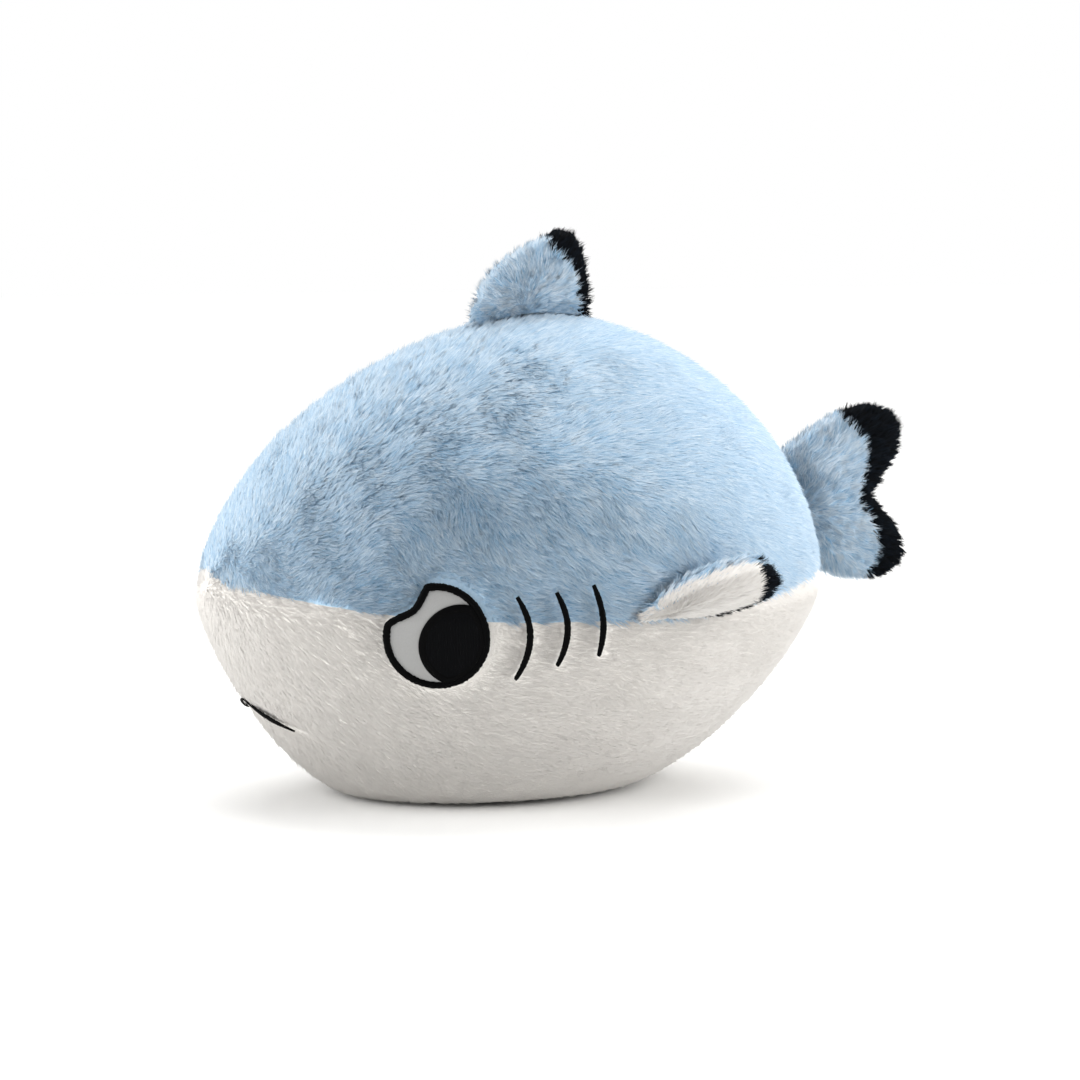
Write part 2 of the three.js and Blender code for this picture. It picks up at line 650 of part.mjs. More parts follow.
// ---------- the toy ----------
const shark = new THREE.Group();
shark.name = "plush_shark";
const add = (name, shape, material) => shark.add(piece(name, shape, material));
const addBoth = (name, shape, material) => {
  add(name.replace("SIDE", "left"), shape, material);
  add(name.replace("SIDE", "right"), shape.mirror([1, 0, 0]), material);
};

add("body_stuffing", bodySolid(-PANEL_THICKNESS - SEAM_GAP, 2), FIBRE);
add("back_panel_left", backShell.intersect(left), BLUE);
add("back_panel_right", backShell.intersect(right), BLUE);
add("side_panel_left", sideShell.intersect(left), WHITE);
add("side_panel_right", sideShell.intersect(right), WHITE);
add("base_panel", baseShell, WHITE);
addBoth("eye_white_SIDE", eyeWhite, SATIN);
addBoth("pupil_SIDE", pupil, THREAD);
addBoth("eye_outline_SIDE", eyeRing, THREAD);
for (const [place, gill] of Object.entries(GILLS)) {
  addBoth("gill_stitch_SIDE_" + place, stitchLayer.intersect(gillColumn(gill)), THREAD);
}
add("mouth_stitch", mouth, THREAD);

for (const [name, fin] of Object.entries({ dorsal_fin: dorsal, tail_fin: tail })) {
  const made = finPieces(fin, SIDE);
  add(name + "_panel_left", made.upperPanel, BLUE);
  add(name + "_panel_right", made.lowerPanel, BLUE);
  add(name + "_edge_left", made.upperBand, BLACK);
  add(name + "_edge_right", made.lowerBand, BLACK);
  add(name + "_stuffing", made.filling, FIBRE);
}

const side = finPieces(pectoral, PECTORAL_FRAME);
addBoth("pectoral_fin_SIDE_top", side.upperPanel, BLUE);
addBoth("pectoral_fin_SIDE_underside", side.lowerPanel, WHITE);
addBoth("pectoral_fin_SIDE_edge_top", side.upperBand, BLACK);
addBoth("pectoral_fin_SIDE_edge_under", side.lowerBand, BLACK);
addBoth("pectoral_fin_SIDE_stuffing", side.filling, FIBRE);

export default shark;
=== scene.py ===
"""A stuffed toy shark in long pile: the look of every piece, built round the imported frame.

Everything is worked out in millimetres, nose along -Y, the shark's left along +X, and turned to metres when a
mesh is made. The body is one sewn cushion with its seams drawn in, and the pile is real: short tapering locks
that grow out of the cloth, leaning the way it was combed.
"""

from __future__ import annotations

import logging
import math
from collections.abc import Callable, Sequence
from dataclasses import dataclass
from enum import Enum
from functools import cache

import bpy
import numpy as np
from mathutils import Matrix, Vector


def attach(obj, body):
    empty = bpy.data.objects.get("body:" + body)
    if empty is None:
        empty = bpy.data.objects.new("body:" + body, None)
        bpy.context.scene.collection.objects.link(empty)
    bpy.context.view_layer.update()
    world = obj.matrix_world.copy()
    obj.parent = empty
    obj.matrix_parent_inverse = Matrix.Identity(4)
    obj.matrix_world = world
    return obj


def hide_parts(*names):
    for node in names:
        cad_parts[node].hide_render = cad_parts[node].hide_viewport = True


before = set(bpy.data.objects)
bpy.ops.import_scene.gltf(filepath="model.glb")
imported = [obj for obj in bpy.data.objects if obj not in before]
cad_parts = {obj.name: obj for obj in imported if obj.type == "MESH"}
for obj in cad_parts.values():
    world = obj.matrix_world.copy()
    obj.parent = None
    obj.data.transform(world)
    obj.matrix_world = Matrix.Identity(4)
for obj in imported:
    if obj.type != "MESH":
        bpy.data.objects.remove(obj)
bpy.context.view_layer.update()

LOG = logging.getLogger("plush_shark")
MM = 0.001
Array = np.ndarray


# ------------------------------------------------------------------ small tools


def linear_colour(hex_code: str) -> tuple[float, float, float, float]:
    """Turn an sRGB hex colour into linear RGBA.

    Args:
        hex_code: six hexadecimal digits, such as "a9c8e4".

    Returns:
        Red, green, blue and an alpha of one, for a shader's socket.
    """
    parts = [int(hex_code[i : i + 2], 16) / 255 for i in (0, 2, 4)]
    red, green, blue = (c / 12.92 if c <= 0.04045 else ((c + 0.055) / 1.055) ** 2.4 for c in parts)
    return red, green, blue, 1.0


def add_node(tree: bpy.types.NodeTree, kind: str, settings: dict | None = None, **links: object) -> bpy.types.Node:
    """Add one node with its settings and what feeds it.

    Args:
        tree: the node tree to add to.
        kind: the node's type, such as "ShaderNodeTexNoise".
        settings: property or socket names with their values.
        links: socket names, with _ for a space, and the output that feeds each.

    Returns:
        The new node.
    """
    node = tree.nodes.new(kind)
    for name, value in (settings or {}).items():
        if name in node.inputs:
            node.inputs[name].default_value = value
        else:
            setattr(node, name, value)
    for name, output in links.items():
        tree.links.new(output, node.inputs[name.replace("_", " ")])
    return node


def unit(vectors: Array) -> Array:
    """Scale each vector in the last axis to a length of one."""
    return vectors / np.maximum(np.linalg.norm(vectors, axis=-1, keepdims=True), 1e-9)


def smooth_step(low: float, high: float, value: Array) -> Array:
    """Ease from 0 at low to 1 at high: 3t^2 - 2t^3 of the share of the way."""
    share = np.clip((value - low) / (high - low), 0.0, 1.0)
    return share * share * (3 - 2 * share)


class Waves:
    """A smooth random field: the mean of eight sine waves of about one wavelength in random directions."""

    def __init__(self, wavelength: float, seed: int) -> None:
        """Draw the waves.

        Args:
            wavelength: the distance in millimetres over which the field changes.
            seed: the seed of the random numbers.
        """
        rng = np.random.default_rng(seed)
        ways = unit(rng.normal(size=(8, 3)))
        self.vectors = ways * (2 * math.pi / wavelength) * rng.uniform(0.7, 1.4, (8, 1))
        self.phases = rng.uniform(0, 2 * math.pi, 8)

    def at(self, points: Array) -> Array:
        """Read the field, about -1 to 1, at points in millimetres."""
        return np.sin(points @ self.vectors.T + self.phases).sum(-1) / 4.0


def mesh_object(
    name: str,
    points: Array,
    faces: Sequence[Array],
    materials: Sequence[bpy.types.Material],
    material_index: Array | None = None,
) -> bpy.types.Object:
    """Make a mesh object at the origin from whole arrays.

    Args:
        name: the object's name.
        points: corners in millimetres, shape (n, 3).
        faces: arrays of corner numbers, one array for each number of corners a face has.
        materials: the material slots in order.
        material_index: the slot of each face, or None for the first slot everywhere.

    Returns:
        The linked object, smooth shaded.
    """
    mesh = bpy.data.meshes.new(name)
    loops = np.concatenate([f.ravel() for f in faces]).astype(np.int32)
    counts = np.concatenate([np.full(len(f), f.shape[1]) for f in faces])
    starts = np.concatenate([[0], np.cumsum(counts)[:-1]]).astype(np.int32)
    mesh.vertices.add(len(points))
    mesh.vertices.foreach_set("co", (points * MM).astype(np.float32).ravel())
    mesh.loops.add(len(loops))
    mesh.loops.foreach_set("vertex_index", loops)
    mesh.polygons.add(len(counts))
    mesh.polygons.foreach_set("loop_start", starts)
    for material in materials:
        mesh.materials.append(material)
    if material_index is not None:
        mesh.polygons.foreach_set("material_index", material_index.astype(np.int32))
    mesh.polygons.foreach_set("use_smooth", np.ones(len(counts), dtype=bool))
    mesh.update(calc_edges=True)
    made = bpy.data.objects.new(name, mesh)
    bpy.context.scene.collection.objects.link(made)
    return made


def tube_faces(rows: int, cols: int, wrap_rows: bool = False) -> tuple[Array, Array]:
    """Number the faces of a grid whose columns close on themselves, with the two ends filled in.

    Args:
        rows: how many rings there are; ring r holds corners r * cols onwards.
        cols: corners in a ring.
        wrap_rows: True if the last ring joins the first, so that there are no ends.

    Returns:
        The quads, and the triangles that close the ends round two extra corners numbered after the grid.
    """
    last = rows if wrap_rows else rows - 1
    r, c = np.meshgrid(np.arange(last), np.arange(cols), indexing="ij")
    r2, c2 = (r + 1) % rows, (c + 1) % cols
    quads = np.stack([r * cols + c, r * cols + c2, r2 * cols + c2, r2 * cols + c], -1).reshape(-1, 4)
    if wrap_rows:
        return quads, np.zeros((0, 3), dtype=int)
    ring = np.arange(cols)
    after = (ring + 1) % cols
    first, final = rows * cols, rows * cols + 1
    low = np.stack([np.full(cols, first), after, ring], -1)
    top = (rows - 1) * cols
    high = np.stack([np.full(cols, final), top + ring, top + after], -1)
    return quads, np.concatenate([low, high])


def grid_normals(points: Array, wrap_rows: bool = False) -> Array:
    """Find the normals of a grid whose columns close: the cross product of its two directions.

    Args:
        points: the grid, shape (rows, cols, 3).
        wrap_rows: True if the rows close too.

    Returns:
        Unit normals of the same shape, outward for rings that turn anticlockwise seen from the last row.
    """
    across = np.roll(points, -1, 1) - np.roll(points, 1, 1)
    along = np.roll(points, -1, 0) - np.roll(points, 1, 0) if wrap_rows else np.gradient(points, axis=0)
    return unit(np.cross(across, along))


# ------------------------------------------------------------------ finishes


class Tone(Enum):
    """The shade that most locks of a pile have, counted from the darkest at 0 to the palest at 4."""

    MIDDLE = 2.0
    # Half a shade paler, for the fins: painted light, standing in for the stronger light that falls on them.
    PAINTED_LIGHT = 2.5


@dataclass(frozen=True)
class PileFinish:
    """Long pile of crimped polyester fibre, knitted into a backing and sheared.

    Each fibre is dull and a little see-through. Five shades run from dark to pale. Each lock's top takes one at random
    about the pile's tone, and its foot and underside take one shade darker as painted shade, so that the gaps between
    locks look deeper.
    """

    name: str
    shades: tuple[str, str, str, str, str]
    sheen: float
    sheen_colour: str
    roughness: float = 0.85
    gloss: float = 0.25

    @cache
    def materials(self) -> tuple[bpy.types.Material, ...]:
        """Make one material for each shade, once.

        Returns:
            The materials, from the darkest shade to the palest.
        """
        made = []
        for number, shade in enumerate(self.shades):
            material = bpy.data.materials.new(f"{self.name}_pile_shade_{number}")
            material.use_nodes = True
            shader = material.node_tree.nodes["Principled BSDF"]
            shader.inputs["Base Color"].default_value = linear_colour(shade)
            shader.inputs["Roughness"].default_value = self.roughness
            shader.inputs["Specular IOR Level"].default_value = self.gloss
            shader.inputs["Sheen Weight"].default_value = self.sheen
            shader.inputs["Sheen Roughness"].default_value = 0.45
            shader.inputs["Sheen Tint"].default_value = linear_colour(self.sheen_colour)
            made.append(material)
        return tuple(made)

    def backing(self) -> bpy.types.Material:
        """Make the knitted backing seen between the locks: fine streaks of root colour, 1.5 mm apart.

        Returns:
            The backing's material.
        """
        material = bpy.data.materials.new(f"{self.name}_pile_backing")
        material.use_nodes = True
        tree = material.node_tree
        shader = tree.nodes["Principled BSDF"]
        place = add_node(tree, "ShaderNodeTexCoord")
        streaks = add_node(
            tree,
            "ShaderNodeTexNoise",
            {"Scale": 650.0, "Detail": 3.0, "Roughness": 0.6},
            Vector=place.outputs["Object"],
        )
        colours = add_node(tree, "ShaderNodeValToRGB", Fac=streaks.outputs["Fac"])
        colours.color_ramp.elements[0].color = linear_colour(self.shades[1])
        colours.color_ramp.elements[1].color = linear_colour(self.shades[3])
        bump = add_node(
            tree,
            "ShaderNodeBump",
            {"Strength": 0.5, "Distance": 0.0006},
            Height=streaks.outputs["Fac"],
        )
        tree.links.new(colours.outputs["Color"], shader.inputs["Base Color"])
        tree.links.new(bump.outputs["Normal"], shader.inputs["Normal"])
        shader.inputs["Roughness"].default_value = 0.95
        shader.inputs["Specular IOR Level"].default_value = 0.2
        return material


@dataclass(frozen=True)
class ThreadFinish:
    """Glossy trilobal polyester embroidery thread, laid side by side as satin stitch.

    The rows of thread give a soft sheen that breaks up along the stitch. Where the stitch's bumps dip, the colour runs
    down to a darker one: painted shade in the fine lines between threads.
    """

    name: str
    colour: str
    painted_gap_shade: str
    roughness: float
    spacing: float
    gloss: float = 0.04

    @cache
    def material(self) -> bpy.types.Material:
        """Make the thread, once: noise as wide as the threads are apart breaks up its colour and its height, and the
        colour is darker where the height is low, as painted shade.

        Returns:
            The thread's material.
        """
        material = bpy.data.materials.new(self.name)
        material.use_nodes = True
        tree = material.node_tree
        shader = tree.nodes["Principled BSDF"]
        place = add_node(tree, "ShaderNodeTexCoord")
        fuzz = add_node(
            tree,
            "ShaderNodeTexNoise",
            {"Scale": 1000.0 / self.spacing, "Detail": 2.0, "Roughness": 0.7},
            Vector=place.outputs["Object"],
        )
        # The colour ramp follows the bump's height: the low ends of the noise take the darker colour, painted shade in
        # the dips between threads.
        colours = add_node(tree, "ShaderNodeValToRGB", Fac=fuzz.outputs["Fac"])
        colours.color_ramp.elements[0].position = 0.3
        colours.color_ramp.elements[0].color = linear_colour(self.painted_gap_shade)
        colours.color_ramp.elements[1].position = 0.7
        colours.color_ramp.elements[1].color = linear_colour(self.colour)
        bump = add_node(
            tree,
            "ShaderNodeBump",
            {"Strength": 0.35, "Distance": 0.0002},
            Height=fuzz.outputs["Fac"],
        )
        tree.links.new(colours.outputs["Color"], shader.inputs["Base Color"])
        tree.links.new(bump.outputs["Normal"], shader.inputs["Normal"])
        shader.inputs["Roughness"].default_value = self.roughness
        shader.inputs["Specular IOR Level"].default_value = self.gloss
        return material


BLUE = PileFinish("blue", ("77a6cb", "95bbd8", "afcae0", "c5d9e9", "d8e5f0"), 0.25, "eef5fb", roughness=0.65, gloss=0.3)
WHITE = PileFinish("white", ("e7e2db", "e9e5df", "ece8e3", "eeebe6", "f1eeea"), 0.1, "ffffff")
BLACK = PileFinish(
    "black", ("020304", "04060a", "070b10", "0b1118", "121a23"), 0.02, "5a6670", roughness=0.8, gloss=0.08
)
# The second colour of each thread is painted shade for the gaps between its threads.
THREAD = ThreadFinish("black_satin_stitch", "040405", "010101", roughness=0.6, spacing=0.8)
RIBBED = ThreadFinish("black_ribbed_fill_stitch", "060709", "020203", roughness=0.6, spacing=0.8)
SATIN = ThreadFinish("white_satin_weave", "9b9b9a", "919190", roughness=0.45, spacing=0.5, gloss=0.3)


# ------------------------------------------------------------------ the body's shape


@dataclass(frozen=True)
class EggShape:
    """The body: an egg with a flat oval base, wide at the cheeks and pointed at the nose.

    Up from the widest level each upright section is a superellipse, and below it the section runs in to the
    base oval. Turn is 0 at the nose and grows to the shark's left; rise is -1 at the base's edge, 0 at the
    widest level and 1 on top.
    """

    nose_reach: float = 216.0
    rump_reach: float = 175.0
    half_width: float = 147.0
    height: float = 286.0
    widest: float = 120.0
    top_y: float = 35.5
    base_half_length: float = 96.0
    base_half_width: float = 70.0
    nose_fullness: float = 1.68
    rump_fullness: float = 1.88
    flank_fullness: float = 1.83
    belly_fullness: float = 1.36
    seam_height: float = 117.5
    seam_rise_to_nose: float = 19.0
    seam_rise_to_rump: float = 26.0
    seam_low_y: float = 25.0
    seam_run: float = 205.0

    def upper_fullness(self, turn: Array) -> Array:
        """Blend the flank's fullness into the nose's or rump's by the square of the turn's cosine.

        Args:
            turn: angles round the upright axis.

        Returns:
            The superellipse's power at each turn.
        """
        ahead = np.cos(turn)
        end = np.where(ahead >= 0, self.nose_fullness, self.rump_fullness)
        return self.flank_fullness + (end - self.flank_fullness) * ahead * ahead

    def point(self, turn: Array, rise: Array, grow: float) -> Array:
        """Place points of the skin.

        The reach left at a rise is the cosine of its angle to the power 2/fullness, and the height is the sine
        to the same power, so that reach^f + height^f = 1.

        Args:
            turn: angles round the upright axis.
            rise: shares of the way up, from -1 to 1.
            grow: millimetres added to every half size.

        Returns:
            Points in millimetres, with a last axis of three.
        """
        turn, rise = np.broadcast_arrays(turn, rise)
        up = rise >= 0
        ahead, aside = np.cos(turn), np.sin(turn)
        fullness = np.where(up, self.upper_fullness(turn), self.belly_fullness)
        angle = np.abs(rise) * math.pi / 2
        out = np.maximum(np.cos(angle), 0.0) ** (2 / fullness)
        along = np.sin(angle) ** (2 / fullness)
        reach = np.where(ahead >= 0, self.nose_reach, self.rump_reach) + grow
        wide, base_wide = self.half_width + grow, self.base_half_width + grow * 0.5
        base_long = self.base_half_length + grow * 0.5
        x = np.where(up, wide * out, base_wide + (wide - base_wide) * out) * aside
        y_up = self.top_y - reach * out * ahead
        y_down = self.top_y * out - (base_long + (reach - base_long) * out) * ahead
        z_up = self.widest + (self.height + grow - self.widest) * along
        z_down = self.widest - (self.widest + grow) * along
        return np.stack([x, np.where(up, y_up, y_down), np.where(up, z_up, z_down)], -1)

    def outside(self, points: Array, grow: float) -> Array:
        """Tell how far outside the skin points are: below 0 inside, 0 on it, above 0 outside.

        Args:
            points: points in millimetres.
            grow: millimetres added to every half size.

        Returns:
            The point's reach as a share of the skin's reach at its height, less one share.
        """
        x, y, z = np.moveaxis(points, -1, 0)
        up = z >= self.widest
        share_up = (z - self.widest) / (self.height + grow - self.widest)
        share_down = (self.widest - z) / (self.widest + grow)
        share = np.clip(np.where(up, share_up, share_down), 0.0, 1.0)
        wide = self.half_width + grow
        reach_up = np.where(y < self.top_y, self.nose_reach, self.rump_reach) + grow
        turn = np.arctan2(x / wide, (self.top_y - y) / reach_up)
        full = self.upper_fullness(turn)
        out_up = np.maximum(1 - share**full, 0) ** (1 / full)
        gap_up = np.hypot(x / wide, (y - self.top_y) / reach_up) - out_up
        out = np.maximum(1 - share**self.belly_fullness, 0) ** (1 / self.belly_fullness)
        base_wide = self.base_half_width + grow * 0.5
        base_long = self.base_half_length + grow * 0.5
        middle = self.top_y * out
        reach = np.where(y < middle, self.nose_reach, self.rump_reach) + grow
        reach_x = base_wide + (wide - base_wide) * out
        reach_y = base_long + (reach - base_long) * out
        gap_down = np.hypot(x / reach_x, (y - middle) / reach_y) - 1
        return np.where(up, gap_up, gap_down)

    def meet(self, start: Array, way: Array, grow: float, reach: float = 110.0) -> Array:
        """Drop points on the skin along straight lines, by halving the span between outside and inside.

        Args:
            start: points outside the skin.
            way: the direction to travel, one for all or one each.
            grow: millimetres by which the skin is grown.
            reach: how far a line goes, ending inside.

        Returns:
            The points where the lines meet the grown skin.
        """
        near, far = np.zeros(start.shape[:-1]), np.full(start.shape[:-1], reach)
        for _ in range(26):
            middle = (near + far) / 2
            outside = self.outside(start + way * middle[..., None], grow) > 0
            near, far = np.where(outside, middle, near), np.where(outside, far, middle)
        return start + way * near[..., None]

    def normal(self, points: Array, grow: float) -> Array:
        """Find the skin's outward normal from the slope of how far outside points half a millimetre away are.

        Args:
            points: places on the skin.
            grow: millimetres by which the skin is grown.

        Returns:
            Unit normals.
        """
        step = 0.5
        slope = [
            self.outside(points + step * axis, grow) - self.outside(points - step * axis, grow) for axis in np.eye(3)
        ]
        return unit(np.stack(slope, -1))

    def seam_at(self, y: Array) -> Array:
        """Find the side seam's height: it climbs with the way to the nose to the power 2.6, and to the rump squared.

        Args:
            y: places along the body.

        Returns:
            The seam's height at each.
        """
        run = (y - self.seam_low_y) / self.seam_run
        to_nose = self.seam_rise_to_nose * np.abs(run) ** 2.6
        return self.seam_height + np.where(run < 0, to_nose, self.seam_rise_to_rump * run**2)

    def seam_rise(self, turn: Array) -> Array:
        """Find the rise at which each turn crosses the side seam, by trying 800 rises.

        Args:
            turn: angles round the upright axis.

        Returns:
            The rise of the seam at each.
        """
        rises = np.linspace(-0.6, 0.6, 800)
        tried = self.point(turn[:, None], rises[None, :], 0.0)
        return rises[np.argmin(np.abs(tried[..., 2] - self.seam_at(tried[..., 1])), axis=1)]

    def back_height(self, y: Array) -> Array:
        """Find the height of the back on the centre plane.

        Args:
            y: places along the body.

        Returns:
            The back's height at each.
        """
        ahead = y < self.top_y
        share = np.abs(y - self.top_y) / np.where(ahead, self.nose_reach, self.rump_reach)
        full = np.where(ahead, self.nose_fullness, self.rump_fullness)
        return self.widest + (self.height - self.widest) * np.maximum(1 - share**full, 0) ** (1 / full)

    def rump_at(self, z: Array) -> Array:
        """Find the reach of the rump on the centre plane above the widest level."""
        share = np.clip((z - self.widest) / (self.height - self.widest), 0, 1)
        return self.top_y + self.rump_reach * np.maximum(1 - share**self.rump_fullness, 0) ** (1 / self.rump_fullness)

    def flank_at(self, y: float, z: float) -> float:
        """Find the half width of the body at a place along it and a height."""
        start = np.array([[260.0, y, z]])
        return float(self.meet(start, np.array([-1.0, 0.0, 0.0]), 0.0, 240.0)[0, 0])


EGG = EggShape()


# ------------------------------------------------------------------ sewing and filling


@dataclass
class Cushion:
    """A sewn cover before it is filled: rings of cloth with their seams."""

    name: str
    points: Array
    pinned: Array
    cap: float
    obj: bpy.types.Object | None = None

    def cloth(self, materials: Sequence[bpy.types.Material], slots: Array) -> bpy.types.Object:
        """Make the cover's mesh, closed at both ends round the middle of its first and last ring.

        Args:
            materials: the cloths it is cut from.
            slots: which cloth each quad is, a row and a column for each corner.

        Returns:
            The cover.
        """
        rows, cols = self.points.shape[:2]
        ends = np.stack([self.points[0].mean(0), self.points[-1].mean(0)])
        quads, ends_faces = tube_faces(rows, cols)
        index = np.concatenate([slots[:-1].ravel(), np.repeat([slots[0, 0], slots[-1, 0]], cols)])
        flat = np.concatenate([self.points.reshape(-1, 3), ends])
        self.obj = mesh_object(self.name, flat, [quads, ends_faces], materials, index)
        return self.obj

    def start_filling(self, pressure: float) -> None:
        """Add cloth with air pressure inside, held at its seams.

        Args:
            pressure: the air pressure.
        """
        group = self.obj.vertex_groups.new(name="seams")
        weights = np.concatenate([self.pinned.ravel(), [1.0, 1.0]])
        for level in np.unique(weights[weights > 0]):
            group.add(np.nonzero(weights == level)[0].tolist(), float(level), "REPLACE")
        cloth = self.obj.modifiers.new("filling", "CLOTH")
        cloth.settings.quality = 4
        cloth.settings.mass = 0.3
        cloth.settings.tension_stiffness = 25
        cloth.settings.compression_stiffness = 20
        cloth.settings.bending_stiffness = 1.0
        cloth.settings.use_pressure = True
        cloth.settings.uniform_pressure_force = pressure
        cloth.settings.vertex_group_mass = "seams"
        cloth.settings.pin_stiffness = 1.0
        cloth.settings.effector_weights.gravity = 0.0
        cloth.collision_settings.use_collision = False

    def settle(self) -> None:
        """Take the filled shape, cap how far a point moved, and drop the simulation."""
        graph = bpy.context.evaluated_depsgraph_get()
        filled = self.obj.evaluated_get(graph)
        moved = np.empty(len(filled.data.vertices) * 3, dtype=np.float32)
        filled.data.vertices.foreach_get("co", moved)
        count = self.points.shape[0] * self.points.shape[1]
        shift = moved.reshape(-1, 3)[:count].astype(float) / MM - self.points.reshape(-1, 3)
        length = np.linalg.norm(shift, axis=-1, keepdims=True)
        shift *= np.minimum(1.0, self.cap / np.maximum(length, 1e-6))
        self.obj.modifiers.clear()
        self.points = self.points + shift.reshape(self.points.shape)
        self.points[..., 2] = np.maximum(self.points[..., 2], 1.0)
        ends = np.stack([self.points[0].mean(0), self.points[-1].mean(0)])
        flat = np.concatenate([self.points.reshape(-1, 3), ends]) * MM
        self.obj.data.vertices.foreach_set("co", flat.astype(np.float32).ravel())
        self.obj.data.update()


def fill(cushions: Sequence[Cushion], pressure: float = 4.0, frames: int = 18) -> None:
    """Fill all covers at once by stepping the cloth simulation.

    Args:
        cushions: the covers, whose meshes are made.
        pressure: the air pressure inside.
        frames: how many frames the cloth settles for.
    """
    for cushion in cushions:
        cushion.start_filling(pressure)
    scene = bpy.context.scene
    for number in range(1, frames + 1):
        scene.frame_set(number)
    for cushion in cushions:
        cushion.settle()
        LOG.info("filled %s", cushion.name)
    scene.frame_set(1)


# ------------------------------------------------------------------ pile


# The R2 sequence's steps: 1/g and 1/g^2, where g^3 = g + 1.
R2_STEPS = (0.7548776662, 0.5698402909)


@dataclass(frozen=True)
class Nap:
    """How a cloth's pile grows and lies.

    Density is in locks to a square millimetre. Length, width and the clump's size are in millimetres, and the lift
    and the ruffle are in radians. Pull is the share of the way to its clump's point that a tip is drawn, and glint
    is how much the light on each lock varies.
    """

    density: float
    length: float
    width: float
    lift: float
    clump: float
    pull: float
    ruffle: float
    tone: Tone = Tone.MIDDLE
    tone_spread: float = 1.0
    glint: float = 0.14


# How deep a lock's foot is in the cloth, and how far its keel rises, as a share of its width.
ROOT_DEPTH = 0.4
KEEL = 0.45


@dataclass
class Roots:
    """Where locks grow: their feet, the cloth's normals there and the way they are combed."""

    feet: Array
    normals: Array
    ways: Array
    lengths: Array
    rise: Array | float = 1.0
    wild: Array | float = 1.0

    def __post_init__(self) -> None:
        """Give every lock its own rise and wildness."""
        self.rise = np.broadcast_to(self.rise, self.lengths.shape)
        self.wild = np.broadcast_to(self.wild, self.lengths.shape)

    def only(self, keep: Array) -> "Roots":
        """Keep the roots that a mask names."""
        kept = (a[keep] for a in (self.feet, self.normals, self.ways, self.lengths, self.rise, self.wild))
        return Roots(*kept)


def scatter(
    points: Array,
    normals: Array,
    density: float,
    seed: int,
    keep: Array | None = None,
) -> tuple[Array, Array]:
    """Spread feet evenly over a grid of cloth.

    Each quad gets its area times the density, and its feet follow the R2 sequence: multiples of 0.7549 and
    0.5698, less their whole parts, are the two shares across it.

    Args:
        points: the cloth, shape (rows, cols, 3), whose columns close.
        normals: its normals.
        density: feet in a square millimetre.
        seed: the seed of the random numbers.
        keep: a mask over the quads (rows - 1, cols), or None for all.

    Returns:
        The feet and the normals at them.
    """
    rng = np.random.default_rng(seed)
    corners = [points[:-1], np.roll(points, -1, 1)[:-1], np.roll(points, -1, 1)[1:], points[1:]]
    turned = [normals[:-1], np.roll(normals, -1, 1)[:-1], np.roll(normals, -1, 1)[1:], normals[1:]]
    area = 0.5 * np.linalg.norm(np.cross(corners[2] - corners[0], corners[3] - corners[1]), axis=-1)
    if keep is not None:
        area = area * keep
    area = area.ravel()
    counts = np.floor(area * density + rng.random(len(area))).astype(int)
    quad = np.repeat(np.arange(len(area)), counts)
    number = np.arange(len(quad)) - np.repeat(np.cumsum(counts) - counts, counts)
    start = rng.random((len(area), 2))[quad]
    u = (start[:, 0] + number * R2_STEPS[0]) % 1.0
    v = (start[:, 1] + number * R2_STEPS[1]) % 1.0
    weights = np.stack([(1 - u) * (1 - v), u * (1 - v), u * v, (1 - u) * v])[..., None]
    feet = sum(w * c.reshape(-1, 3)[quad] for w, c in zip(weights, corners))
    ways = sum(w * c.reshape(-1, 3)[quad] for w, c in zip(weights, turned))
    return feet, unit(ways)


def hashed(cells: Array, salt: int) -> Array:
    """Turn whole-number cells into even random shares from 0 to 1, by multiplying and folding their bits.

    Args:
        cells: whole numbers in threes.
        salt: a number that sets one use apart from another.

    Returns:
        One share for each cell.
    """
    mixed = (
        cells[..., 0].astype(np.int64) * 73856093
        ^ cells[..., 1].astype(np.int64) * 19349663
        ^ cells[..., 2].astype(np.int64) * 83492791
        ^ salt * 2654435761
    )
    mixed = (mixed ^ (mixed >> 13)) * 1274126177
    mixed = (mixed ^ (mixed >> 16)) & 0xFFFFFF
    return mixed / float(0x1000000)


def nearest_clump(feet: Array, size: float, seed: int) -> tuple[Array, Array]:
    """Find the clump each foot belongs to: the nearest of one jittered point in each cell of a cubic lattice.

    Args:
        feet: points in millimetres.
        size: the side of a cell.
        seed: the seed of the jitter.

    Returns:
        The clumps' points, and the cells that hold them.
    """
    home = np.floor(feet / size).astype(np.int64)
    best = np.full(len(feet), np.inf)
    where = np.zeros_like(feet)
    cell = home.copy()
    steps = np.stack(np.meshgrid(*[np.arange(-1, 2)] * 3, indexing="ij"), -1).reshape(-1, 3)
    for step in steps:
        tried = home + step
        jitter = np.stack([hashed(tried, seed + k) for k in (1, 2, 3)], -1)
        point = (tried + jitter) * size
        gap = ((point - feet) ** 2).sum(-1)
        closer = gap < best
        best = np.where(closer, gap, best)
        where = np.where(closer[:, None], point, where)
        cell = np.where(closer[:, None], tried, cell)
    return where, cell


